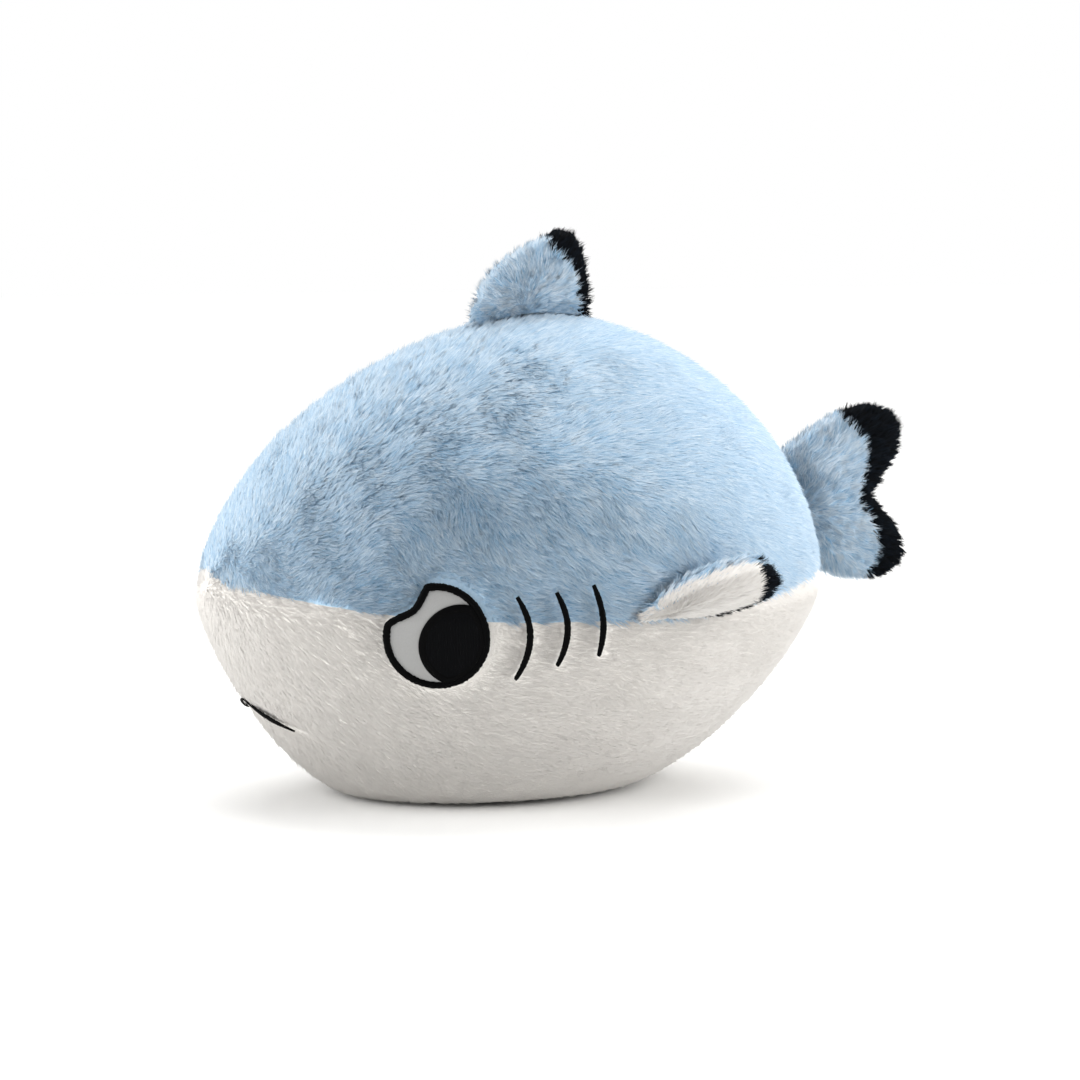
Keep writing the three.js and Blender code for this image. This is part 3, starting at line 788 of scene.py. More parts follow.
def grow_pile(name: str, roots: Roots, nap: Nap, finish: PileFinish, seed: int) -> bpy.types.Object:
    """Grow closed four-sided locks out of a cloth.

    A lock has two corners at its foot, a raised one halfway and one at its tip. It rises at the lift angle and
    bends over as it goes, and its tip is pulled towards its clump's point, so that locks gather into tufts.

    Args:
        name: the new object's name.
        roots: where the locks grow.
        nap: how they grow and lie.
        finish: the pile's fibre, with its five shades.
        seed: the seed of the random numbers.

    Returns:
        The pile as one mesh object.
    """
    rng = np.random.default_rng(seed)
    count = len(roots.feet)
    point, cell = nearest_clump(roots.feet, nap.clump, seed)
    inward = point - roots.feet
    inward -= (inward * roots.normals).sum(-1, keepdims=True) * roots.normals
    share = [hashed(cell, seed + k) for k in (11, 12, 13, 14)]
    wild = roots.wild
    turn = (share[0] - 0.5) * 2 * nap.ruffle * wild + rng.normal(0, 0.15, count)
    side = np.cross(roots.normals, roots.ways)
    way = unit(roots.ways * np.cos(turn)[:, None] + side * np.sin(turn)[:, None])
    side = np.cross(roots.normals, way)
    length = nap.length * roots.lengths * (0.88 + 0.24 * share[1]) * rng.uniform(0.6, 1.2, count)
    lift = nap.lift * roots.rise * (1 + (share[2] - 0.5) * 0.7 * wild) + rng.normal(0, 0.08, count)
    pull = (nap.pull * wild)[:, None]

    def lean(part: float) -> Array:
        """Reach a share of the length at the lift angle, drawn towards the clump.

        Args:
            part: the share.

        Returns:
            The point that each lock has there.
        """
        reach = (length * part)[:, None]
        rise = way * np.cos(lift)[:, None] + roots.normals * np.sin(lift)[:, None]
        return roots.feet + reach * rise + inward * pull * part

    half = (side * nap.width / 2) * rng.uniform(0.8, 1.2, count)[:, None]
    foot = roots.feet - roots.normals * ROOT_DEPTH
    middle = lean(0.5) + roots.normals * nap.width * KEEL
    tip = lean(1.0)
    corners = np.stack([foot - half, foot + half, middle, tip], 1)
    corners[..., 2] = np.maximum(corners[..., 2], 0.15 + 0.1 * np.arange(4) * np.array([0, 0, 1, 1]))
    shape = np.array([[0, 3, 2], [3, 1, 2], [1, 0, 2], [0, 1, 3]])
    faces = (np.arange(count)[:, None, None] * 4 + shape[None]).reshape(-1, 3)
    patch = Waves(24.0, 91).at(roots.feet)
    stray = ((share[3] - 0.5) * 1.6 + 0.5 * patch) * wild + rng.normal(0, 0.9, count)
    tone = nap.tone.value + 0.4 + nap.tone_spread * stray
    tops = np.clip(np.round(tone), 0, 4)
    # A lock's two upper faces take its shade. Its foot and underside, which face the cloth, take one shade darker:
    # painted shade where the lock shades itself and the cloth under it.
    index = np.stack([tops, tops, np.maximum(tops - 1, 0), np.maximum(tops - 1, 0)], -1).ravel()
    made = mesh_object(name, corners.reshape(-1, 3), [faces], finish.materials(), index)
    tuft = (share[0] - 0.5)[:, None] * side + (share[2] - 0.4)[:, None] * way
    fluff = roots.normals + 0.3 * way + (0.6 * wild)[:, None] * tuft + rng.normal(0, nap.glint, (count, 3))
    shading = np.repeat(unit(fluff)[:, None, :], 4, 1)
    shading[:, 0] = unit(shading[:, 0] - side * 0.2)
    shading[:, 1] = unit(shading[:, 1] + side * 0.2)
    made.data.normals_split_custom_set_from_vertices(shading.reshape(-1, 3))
    LOG.info("%s: %d locks", name, count)
    return made


def comb(feet: Array, normals: Array, pull: Array, swirl: float, seed: int) -> Array:
    """Lay a direction flat on the cloth and stray from it in broad swirls.

    Args:
        feet: where the locks grow.
        normals: the cloth's normals.
        pull: the direction that the pile is brushed, one for each foot.
        swirl: the most, in radians, that it strays.
        seed: the seed of the swirls.

    Returns:
        Unit directions in the cloth.
    """
    flat = pull - (pull * normals).sum(-1, keepdims=True) * normals
    flat = unit(flat)
    angle = swirl * (0.65 * Waves(95.0, seed).at(feet) + 0.55 * Waves(38.0, seed + 1).at(feet))
    return flat * np.cos(angle)[:, None] + np.cross(normals, flat) * np.sin(angle)[:, None]


# ------------------------------------------------------------------ face


@dataclass(frozen=True)
class EyeShape:
    """The eye: a round appliqué with a dent in its upper front that makes it frown."""

    y: float = -73.2
    height: float = 110.3
    facing: tuple[float, float, float] = (0.897, -0.405, -0.18)
    radius: float = 30.0
    ring_width: float = 4.2
    dent: float = 8.0
    dent_from: float = 100.0
    dent_to: float = 165.0
    dent_peak: float = 0.2132
    tall: float = 1.03
    pupil_radius: float = 23.6
    pupil_back: float = 13.6
    pupil_down: float = 4.9

    def axes(self) -> tuple[Array, Array, Array, Array]:
        """Find where the eye sits and how it is turned.

        Returns:
            Its centre on the body, and its axes across, up and out.
        """
        out = unit(np.array(self.facing))
        across = unit(np.cross([0.0, 0.0, 1.0], out))
        up = np.cross(out, across)
        centre = np.array([EGG.flank_at(self.y, self.height), self.y, self.height])
        return centre, across, up, out

    def edge(self, angle: Array) -> Array:
        """Find the radius of the eye's edge: a circle less a dent of s (1 - s)^1.25, s the share across it.

        Args:
            angle: angles round the eye, anticlockwise from its rear.

        Returns:
            The radius at each.
        """
        degrees = np.degrees(angle) % 360
        share = np.clip((degrees - self.dent_from) / (self.dent_to - self.dent_from), 0, 1)
        return self.radius - self.dent * share * (1 - share) ** 1.25 / self.dent_peak

    def local(self, points: Array) -> Array:
        """Give points on either side of the head as places on the eye that is nearest.

        Args:
            points: points in millimetres.

        Returns:
            How far across and up the eye each is, and how far from its centre.
        """
        centre, across, up, _ = self.axes()
        mirrored = points.copy()
        mirrored[..., 0] = np.abs(mirrored[..., 0])
        away = mirrored - centre
        return np.stack([away @ across, away @ up / self.tall, np.linalg.norm(away, axis=-1)], -1)

    def drop(self, across_by: Array, up_by: Array, grow: float) -> Array:
        """Drop places of the eye onto the grown skin.

        Args:
            across_by: how far across the eye they are.
            up_by: how far up it.
            grow: millimetres by which the skin is grown.

        Returns:
            Points on the grown skin.
        """
        centre, across, up, out = self.axes()
        start = centre + across_by[..., None] * across + self.tall * up_by[..., None] * up + out * 25
        return EGG.meet(start, -out, grow, 95.0)


EYE = EyeShape()


@dataclass(frozen=True)
class GillShape:
    """One gill: an arc in the side view that bulges back."""

    place: str
    y: float
    top: float
    bottom: float
    bulge: float
    lean: float

    def line(self, count: int) -> Array:
        """Follow the gill down: a parabola for the bulge, and a slant for the lean.

        Args:
            count: how many points to give.

        Returns:
            Places along the body, with heights.
        """
        share = np.linspace(0, 1, count)
        bulge = self.bulge * (1 - (2 * share - 1) ** 2)
        y = self.y - self.bulge + bulge - self.lean * (1 - 2 * share) * 0.5
        return np.stack([y, self.top + (self.bottom - self.top) * share], -1)


GILLS = (
    GillShape("front", -23.5, 133.5, 86.0, 6.5, 2.0),
    GillShape("middle", -2.8, 135.5, 93.5, 5.0, 2.5),
    GillShape("rear", 17.5, 139.0, 98.5, 3.0, 4.5),
)
GILL_WIDTH = 3.2
MOUTH_HALF_WIDTH = 44.0
MOUTH_HEIGHT = 60.0
MOUTH_DROP = 12.0


def mouth_line(count: int) -> Array:
    """Follow the mouth in the front view: a low arch that falls with the 1.3 power of the way to a corner.

    Args:
        count: how many points to give.

    Returns:
        Places across the body, with heights.
    """
    x = np.linspace(-MOUTH_HALF_WIDTH, MOUTH_HALF_WIDTH, count)
    return np.stack([x, MOUTH_HEIGHT - MOUTH_DROP * np.abs(x / MOUTH_HALF_WIDTH) ** 1.3], -1)


def stitched_band(
    name: str,
    path: Array,
    normals: Array,
    half_width: Array,
    height: float,
    closed: bool,
    seed: int,
) -> bpy.types.Object:
    """Lay a band of satin stitch along a path.

    The section is half an ellipse on a flat foot. The threads lie across the band 0.8 mm apart, coarse enough
    to show: each swells the height by a tenth and ends a little in or out of line.

    Args:
        name: the new object's name.
        path: points along the middle of the band.
        normals: the cloth's normals along it.
        half_width: half of the band's width at each point.
        height: how far the band stands proud.
        closed: True for a ring.
        seed: the seed of the uneven thread ends.

    Returns:
        The band as a closed mesh.
    """
    rng = np.random.default_rng(seed)
    along = np.roll(path, -1, 0) - np.roll(path, 1, 0) if closed else np.gradient(path, axis=0)
    side = unit(np.cross(normals, along))
    around = np.linspace(0, 2 * math.pi, 14, endpoint=False)
    spread, rise = np.cos(around), np.where(np.sin(around) > 0, np.sin(around), 0.35 * np.sin(around))
    thread = np.arange(len(path)) // 2
    ends = 1 + 0.07 * rng.normal(size=thread.max() + 1)[thread]
    swell = 1 + 0.12 * (np.arange(len(path)) % 2)
    wide = (half_width * ends)[:, None, None] * spread[None, :, None] * side[:, None, :]
    tall = (height * swell)[:, None, None] * rise[None, :, None] * normals[:, None, :]
    grid = path[:, None, :] + wide + tall
    quads, caps = tube_faces(len(path), len(around), closed)
    points = grid.reshape(-1, 3)
    if not closed:
        points = np.concatenate([points, path[:1], path[-1:]])
        return mesh_object(name, points, [quads[:, ::-1], caps[:, ::-1]], [THREAD.material()])
    return mesh_object(name, points, [quads[:, ::-1]], [THREAD.material()])


def register(piece: bpy.types.Object, body: str, nodes: Sequence[str]) -> None:
    """Tie a piece to its body, and hide the CAD solids it stands for.

    Args:
        piece: the finished piece.
        body: the CAD body it rides on.
        nodes: the CAD nodes it replaces.
    """
    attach(piece, body)
    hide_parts(*nodes)
    LOG.info("piece %s rides on %s", piece.name, body)


@dataclass
class Face:
    """The stitched face: eyes, gills and mouth, laid on the pile."""

    lie: float = 1.0
    hem: float = 1.6
    spokes: int = 160
    rings: int = 60
    ribbed_rings: int = 48
    ring_threads: int = 440
    gill_threads: int = 120
    mouth_threads: int = 220
    rib_spacing: float = 1.6

    def build(self) -> None:
        """Make both eyes, all gills and the mouth."""
        for sign, side in ((1.0, "left"), (-1.0, "right")):
            self.eye(sign, side)
            for gill in GILLS:
                self.gill(gill, sign, side)
        self.mouth()

    def mirror(self, points: Array, sign: float) -> Array:
        """Copy points to the shark's right when the sign is -1."""
        return points * np.array([sign, 1.0, 1.0])

    def disc(
        self,
        name: str,
        edge: Callable[[Array], Array],
        centre: tuple[float, float],
        relief: Callable[[Array, Array], Array],
        material: bpy.types.Material,
        sign: float,
    ) -> bpy.types.Object:
        """Make a thin closed appliqué: rings from its middle to its edge on top, and back underneath.

        Args:
            name: the new object's name.
            edge: the radius of the edge at an angle.
            centre: its middle across and up the eye.
            relief: the height over the lie, from place across and share of the way to the edge.
            material: its material.
            sign: 1 for the shark's left, -1 for its right.

        Returns:
            The appliqué.
        """
        angle = np.linspace(0, 2 * math.pi, self.spokes, endpoint=False)
        share = np.concatenate([np.linspace(0.01, 1, self.rings), [1.0, 0.9, 0.01]])
        radius = edge(angle)
        across = centre[0] + share[:, None] * radius * np.cos(angle)
        up = centre[1] + share[:, None] * radius * np.sin(angle)
        over = EYE.drop(across, up, self.lie)
        out = EGG.normal(over, self.lie)
        height = relief(across, share[:, None] * np.ones_like(across))
        height[self.rings :] = -self.hem
        points = self.mirror((over + out * height[..., None]).reshape(-1, 3), sign)
        quads, caps = tube_faces(len(share), len(angle))
        ends = np.stack([points[: self.spokes].mean(0), points[-self.spokes :].mean(0)])
        faces = [quads, caps] if sign < 0 else [quads[:, ::-1], caps[:, ::-1]]
        return mesh_object(name, np.concatenate([points, ends]), faces, [material])

    def pupil_edge(self, angle: Array) -> Array:
        """Find the pupil's radius: its own, or less where it would run into the eye's ring.

        Args:
            angle: angles round the pupil.

        Returns:
            The radius at each.
        """
        radii = np.linspace(0.5, EYE.pupil_radius, 120)
        x = EYE.pupil_back + radii[:, None] * np.cos(angle)
        y = -EYE.pupil_down + radii[:, None] * np.sin(angle)
        inside = np.hypot(x, y) < EYE.edge(np.arctan2(y, x)) - EYE.ring_width * 0.75
        return np.where(inside, radii[:, None], 0.5).max(0)

    def eye(self, sign: float, side: str) -> None:
        """Make one eye: the satin ground, the ribbed pupil with its smooth rim, and the ring round it.

        Args:
            sign: 1 for the shark's left, -1 for its right.
            side: "left" or "right", for the names.
        """
        ground = self.disc(
            f"eye_satin_{side}",
            lambda a: EYE.edge(a) - EYE.ring_width * 0.6,
            (0.0, 0.0),
            lambda x, s: 0.25 - 0.6 * s**6,
            SATIN.material(),
            sign,
        )
        register(ground, "body", [f"eye_white_{side}"])

        def ribs(x: Array, s: Array) -> Array:
            """Rib the pupil upright inside a plain rim, a rounded step 3.4 mm wide.

            Args:
                x: places across the eye.
                s: shares of the way to the edge.

            Returns:
                The pupil's height there.
            """
            rim = smooth_step(0.80, 0.84, s)
            rows = 0.3 * np.abs(np.sin(math.pi * x / self.rib_spacing))
            hump = 0.75 * np.sqrt(np.clip(1 - ((s - 0.915) / 0.09) ** 2, 0, 1))
            return 1.0 + rows * (1 - rim) + hump * rim - 0.3 * s

        middle = (EYE.pupil_back, -EYE.pupil_down)
        pupil = self.disc(f"eye_pupil_{side}", self.pupil_edge, middle, ribs, THREAD.material(), sign)
        pupil.data.materials.append(RIBBED.material())
        ribbed = np.zeros(len(pupil.data.polygons), dtype=np.int32)
        ribbed[: self.spokes * self.ribbed_rings] = 1
        pupil.data.polygons.foreach_set("material_index", ribbed)
        register(pupil, "body", [f"pupil_{side}"])
        angle = np.linspace(0, 2 * math.pi, self.ring_threads, endpoint=False)
        radius = EYE.edge(angle) - EYE.ring_width / 2
        path = EYE.drop(radius * np.cos(angle), radius * np.sin(angle), self.lie)
        half = np.full(self.ring_threads, EYE.ring_width / 2)
        ring = self.stitch(f"eye_ring_{side}", path, half, 1.6, sign, True, 5)
        register(ring, "body", [f"eye_outline_{side}"])

    def stitch(
        self, name: str, path: Array, half: Array, height: float, sign: float, closed: bool, seed: int
    ) -> bpy.types.Object:
        """Lay a stitched band on one side of the head.

        Args:
            name: the new object's name.
            path: points along it on the shark's left.
            half: half of its width at each point.
            height: how far it stands proud.
            sign: 1 for the shark's left, -1 for its right.
            closed: True for a ring.
            seed: the seed of the uneven thread ends.

        Returns:
            The band.
        """
        normals = EGG.normal(path, self.lie)
        if sign < 0:
            path, normals = self.mirror(path, sign)[::-1], self.mirror(normals, sign)[::-1]
        return stitched_band(name, path, normals, half, height, closed, seed)

    def gill(self, gill: GillShape, sign: float, side: str) -> None:
        """Make one gill stitch.

        Args:
            gill: its shape.
            sign: 1 for the shark's left, -1 for its right.
            side: "left" or "right", for the names.
        """
        line = gill.line(self.gill_threads)
        start = np.stack([np.full(self.gill_threads, 230.0), line[:, 0], line[:, 1]], -1)
        path = EGG.meet(start, np.array([-1.0, 0.0, 0.0]), self.lie + 0.6, 200.0)
        share = np.linspace(0, 1, self.gill_threads)
        half = GILL_WIDTH / 2 * (0.45 + 0.8 * np.sin(math.pi * np.clip(share * 0.94 + 0.03, 0, 1)) ** 0.5)
        made = self.stitch(f"gill_{side}_{gill.place}", path, half, 1.5, sign, False, 7)
        register(made, "body", [f"gill_stitch_{side}_{gill.place}"])

    def mouth(self) -> None:
        """Make the mouth stitch, thin in the middle and at the corners."""
        line = mouth_line(self.mouth_threads)
        start = np.stack([line[:, 0], np.full(self.mouth_threads, -250.0), line[:, 1]], -1)
        path = EGG.meet(start, np.array([0.0, 1.0, 0.0]), self.lie - 2.1, 220.0)
        normals = EGG.normal(path, self.lie)
        away = np.abs(line[:, 0]) / MOUTH_HALF_WIDTH
        half = 0.22 + 2.0 * np.sin(math.pi * away**1.4) ** 1.4
        path -= normals * (2.2 * np.exp(-((away / 0.5) ** 2)))[:, None]
        made = stitched_band("mouth_line", path, normals, half, 1.0, False, 9)
        register(made, "body", ["mouth_stitch"])


# ------------------------------------------------------------------ body


# A part of a cloth's pile: its name, and where along the body it starts and ends.
Part = tuple[str, float, float]


@dataclass
class Body:
    """The sewn body: four panels and a base, filled tight, and their pile."""

    turns: int = 144
    rows_base: int = 7
    rows_down: int = 36
    rows_up: int = 52
    slack: float = -4.5
    seam_tuck: float = 0.6
    sag: float = 1.2
    blue: Nap = Nap(1.55, 8.2, 0.5, 0.42, clump=3.8, pull=0.33, ruffle=0.28, tone_spread=0.65, glint=0.05)
    white: Nap = Nap(0.95, 7.2, 0.55, 0.17, clump=6.0, pull=0.1, ruffle=0.08, tone_spread=0.15, glint=0.01)
    pressed: Nap = Nap(0.5, 4.0, 1.1, 0.1, clump=8.0, pull=0.3, ruffle=0.4)
    back_parts: tuple[Part, ...] = (("front", -300, -62), ("cheek", -62, 10), ("flank", 10, 82), ("rear", 82, 400))
    flank_parts: tuple[Part, ...] = (("front", -300, 10), ("rear", 10, 400))
    cushion: Cushion | None = None

    def lay_out(self) -> Array:
        """Lay out the cover as rings: the base, the flank up to the side seam, and the back.

        Returns:
            The rings' points.
        """
        turn = np.linspace(0, 2 * math.pi, self.turns, endpoint=False)
        seam = EGG.seam_rise(turn)
        down = np.linspace(-1, 0, self.rows_down, endpoint=False)
        up = np.linspace(0, 0.985, self.rows_up)
        rise = np.concatenate([(-1 + (seam + 1) * (down[:, None] + 1)), seam + (1 - seam) * up[:, None]])
        flank = EGG.point(turn[None, :], rise, self.slack)
        flank[..., 2] -= self.sag * np.exp((flank[:1, :, 2] - flank[..., 2]) / 12.0)
        base = flank[:1] * np.linspace(0.03, 0.96, self.rows_base)[:, None, None] * np.array([1.0, 1.0, 0.0])
        base[..., 2] = flank[0, 0, 2]
        return np.concatenate([base, flank])

    def sew(self) -> Cushion:
        """Draw the seams in, and hold them while the cover is filled.

        Returns:
            The cover.
        """
        grid = self.lay_out()
        normals = grid_normals(grid)
        rows = np.arange(len(grid))
        side_row = self.rows_base + self.rows_down
        near_side = np.exp(-(((rows - side_row) / 0.9) ** 2))[:, None] * np.ones(self.turns)
        column = np.arange(self.turns)
        off_middle = np.minimum(np.minimum(column, self.turns - column), np.abs(column - self.turns // 2))
        above_base = (rows >= self.rows_base)[:, None]
        taper = np.clip((len(grid) - 1 - rows) / 12.0, 0, 1)[:, None]
        near_middle = np.exp(-((off_middle / 0.8) ** 2))[None, :] * above_base * taper
        tuck = np.maximum(near_side, near_middle)
        grid = grid - normals * (tuck * self.seam_tuck)[..., None]
        pinned = np.where(tuck > 0.6, 1.0, 0.0)
        pinned[: self.rows_base + 1] = 1.0
        pinned[-2:] = 1.0
        self.cushion = Cushion("body_cushion", grid, pinned, 3.2)
        slots = np.where(rows >= side_row, 0, 1)[:, None] * np.ones(self.turns, dtype=int)
        self.cushion.cloth([BLUE.backing(), WHITE.backing()], slots)
        return self.cushion

    def dress(self) -> None:
        """Grow the pile of every panel on the filled cover."""
        register(self.cushion.obj, "body", ["body_stuffing"])
        grid = self.cushion.points
        normals = grid_normals(grid)
        quad_row = np.arange(len(grid) - 1)[:, None] * np.ones(self.turns, dtype=int)
        side_row = self.rows_base + self.rows_down
        self.back(grid, normals, quad_row >= side_row)
        self.flank(grid, normals, (quad_row < side_row) & (quad_row >= self.rows_base))
        self.base(grid, normals, quad_row < self.rows_base)

    def clear_of_stitches(self, feet: Array) -> Array:
        """Shorten locks that would hide the face: none inside the eye or on a stitch, short ones just ahead.

        Args:
            feet: where the locks grow.

        Returns:
            A share of full length for each lock, 0 for none.
        """
        local = EYE.local(feet)
        gap = np.hypot(local[:, 0], local[:, 1]) - EYE.edge(np.arctan2(local[:, 1], local[:, 0]))
        near = local[:, 2] < 60
        share = np.where(near, np.where(gap < 0.8, 0.0, smooth_step(-3.0, 11.0, gap)), 1.0)
        for gill in GILLS:
            line = gill.line(24)
            away = np.linalg.norm(feet[:, None, 1:] - line[None], axis=-1).min(1)
            share = np.minimum(share, np.where(away < 1.3, 0.0, 0.35 + 0.65 * smooth_step(1.0, 7.0, away)))
        front = feet[:, 1] < -60
        line = mouth_line(40)
        away = np.full(len(feet), 99.0)
        away[front] = np.linalg.norm(feet[front][:, None, ::2] - line[None], axis=-1).min(1)
        return np.minimum(share, np.where(away < 1.2, 0.0, 0.4 + 0.6 * smooth_step(1.0, 6.0, away)))

    def roots(
        self,
        grid: Array,
        normals: Array,
        keep: Array,
        nap: Nap,
        pull: Callable[[Array], Array],
        swirl: float,
        seed: int,
    ) -> Roots:
        """Scatter and comb the roots of one cloth of the body.

        Args:
            grid: the filled cover.
            normals: its normals.
            keep: a mask over its quads.
            nap: how the pile grows.
            pull: the way it is brushed, for given feet.
            swirl: the most, in radians, that it strays.
            seed: the seed of the random numbers.

        Returns:
            The roots, with none under the stitches.
        """
        feet, out = scatter(grid, normals, nap.density, seed, keep)
        ways = comb(feet, out, pull(feet), swirl, seed + 5)
        lengths = self.clear_of_stitches(feet)
        return Roots(feet, out, ways, lengths).only(lengths > 0.05)

    def grow_parts(
        self, roots: Roots, cloth: str, parts: Sequence[Part], nap: Nap, finish: PileFinish, seed: int
    ) -> None:
        """Grow a cloth's pile on both sides, in parts along the body.

        Args:
            roots: where the locks grow.
            cloth: "back" or "side", for the names.
            parts: the parts.
            nap: how they grow.
            finish: their fibre.
            seed: the seed of the random numbers.
        """
        x, y, _ = roots.feet.T
        for side, sign in (("left", 1.0), ("right", -1.0)):
            for place, low, high in parts:
                part = roots.only((x * sign > 0) & (y >= low) & (y < high))
                made = grow_pile(f"{cloth}_pile_{side}_{place}", part, nap, finish, seed)
                register(made, "body", [f"{cloth}_panel_{side}"])

    def back(self, grid: Array, normals: Array, keep: Array) -> None:
        """Grow the blue back: brushed backwards, falling behind the eye and above the gills.

        Args:
            grid: the filled cover.
            normals: its normals.
            keep: a mask over its quads.
        """

        def pull(feet: Array) -> Array:
            """Brush back and a little down, and straight down in two patches each side.

            Args:
                feet: where the locks grow.

            Returns:
                The way each is brushed.
            """
            down = np.exp(-(((feet[:, 1] + 15) / 48) ** 2 + ((feet[:, 2] - 185) / 38) ** 2))
            down += 0.7 * np.exp(-(((feet[:, 1] - 60) / 30) ** 2 + ((feet[:, 2] - 160) / 26) ** 2))
            ways = np.tile([0.0, 1.0, -0.22], (len(feet), 1))
            ways[:, 2] -= 1.3 * down
            return ways

        roots = self.roots(grid, normals, keep, self.blue, pull, 0.75, 21)
        _, y, z = roots.feet.T
        roots.lengths *= 0.75 + 0.25 * smooth_step(-190, -110, y)
        front = smooth_step(60, -60, y) * smooth_step(125, 165, z)
        tufts = Waves(17.0, 23).at(roots.feet)
        roots.wild = 0.3 + (0.6 - 0.35 * smooth_step(-90, -150, y)) * smooth_step(120, 20, y + 0.45 * (z - 180))
        over_nose = 0.6 + 0.4 * smooth_step(-170, -120, y)
        over_rump = 0.75 + 0.25 * smooth_step(140, 40, y)
        roots.rise = over_nose * (1 + 0.3 * front) * (1 + 0.22 * roots.wild * tufts) * over_rump
        self.grow_parts(roots, "back", self.back_parts, self.blue, BLUE, 31)

    def flank(self, grid: Array, normals: Array, keep: Array) -> None:
        """Grow the white flanks: brushed back and down, laid flatter than the blue.

        Args:
            grid: the filled cover.
            normals: its normals.
            keep: a mask over its quads.
        """

        def pull(feet: Array) -> Array:
            """Brush back and a little down."""
            return np.tile([0.0, 1.0, -0.2], (len(feet), 1))

        roots = self.roots(grid, normals, keep, self.white, pull, 0.3, 41)
        roots.wild = np.full(len(roots.feet), 0.12)
        roots.lengths *= 0.55 + 0.45 * smooth_step(2, 30, roots.feet[:, 2])
        self.grow_parts(roots, "side", self.flank_parts, self.white, WHITE, 51)

    def base(self, grid: Array, normals: Array, keep: Array) -> None:
        """Grow the base's pile, pressed flat by the toy's weight.

        Args:
            grid: the filled cover.
            normals: its normals.
            keep: a mask over its quads.
        """
        feet, out = scatter(grid, normals, self.pressed.density, 61, keep)
        ways = comb(feet, out, np.tile([0.0, 1.0, 0.0], (len(feet), 1)), 0.6, 62)
        made = grow_pile("base_pile", Roots(feet, out, ways, np.ones(len(feet))), self.pressed, WHITE, 63)
        register(made, "body", ["base_panel"])


# ------------------------------------------------------------------ fins


def spline(controls: Sequence[tuple[float, float]], count: int) -> Array:
    """Draw a uniform Catmull-Rom curve through points, at equal steps of its length.

    Args:
        controls: the points it passes through.
        count: how many points to give.

    Returns:
        Points of the curve, ends included.
    """
    given = np.array(controls, dtype=float)
    t = np.linspace(0, len(given) - 1, 900)
    i = np.minimum(t.astype(int), len(given) - 2)
    w = (t - i)[:, None]
    last = len(given) - 1
    p0, p1, p2, p3 = (given[np.clip(i + k, 0, last)] for k in (-1, 0, 1, 2))
    v1, v2 = (p2 - p0) / 2, (p3 - p1) / 2
    fine = (2 * p1 - 2 * p2 + v1 + v2) * w**3 + (-3 * p1 + 3 * p2 - 2 * v1 - v2) * w**2 + v1 * w + p1
    run = np.concatenate([[0], np.cumsum(np.linalg.norm(np.diff(fine, axis=0), axis=-1))])
    even = np.linspace(0, run[-1], count)
    return np.stack([np.interp(even, run, fine[:, k]) for k in (0, 1)], -1)


def within(points: Array, polygon: Array) -> Array:
    """Tell which points of the plane lie in a polygon, by counting the sides that a ray to the right crosses.

    Args:
        points: places in the plane.
        polygon: its corners in order.

    Returns:
        A mask over the points.
    """
    inside = np.zeros(len(points), dtype=bool)
    for (x1, y1), (x2, y2) in zip(polygon, np.roll(polygon, -1, 0)):
        spans = (y1 > points[:, 1]) != (y2 > points[:, 1])
        at = x1 + (points[:, 1] - y1) * (x2 - x1) / (y2 - y1 if y2 != y1 else 1e-9)
        inside ^= spans & (points[:, 0] < at)
    return inside


# The fins' locks centre half a shade paler than the body's: painted light for the stronger light on the fins.
FIN_NAP = Nap(2.0, 6.5, 0.5, 0.40, 4.6, 0.45, 0.35, Tone.PAINTED_LIGHT, glint=0.1)
BAND_NAP = Nap(2.0, 6.0, 0.65, 0.6, 4.0, 0.7, 0.5, glint=0.2)
SIDE_AXES = np.array([[0.0, 1.0, 0.0], [0.0, 0.0, 1.0], [1.0, 0.0, 0.0]])
ROOT_TUCK = 3.0


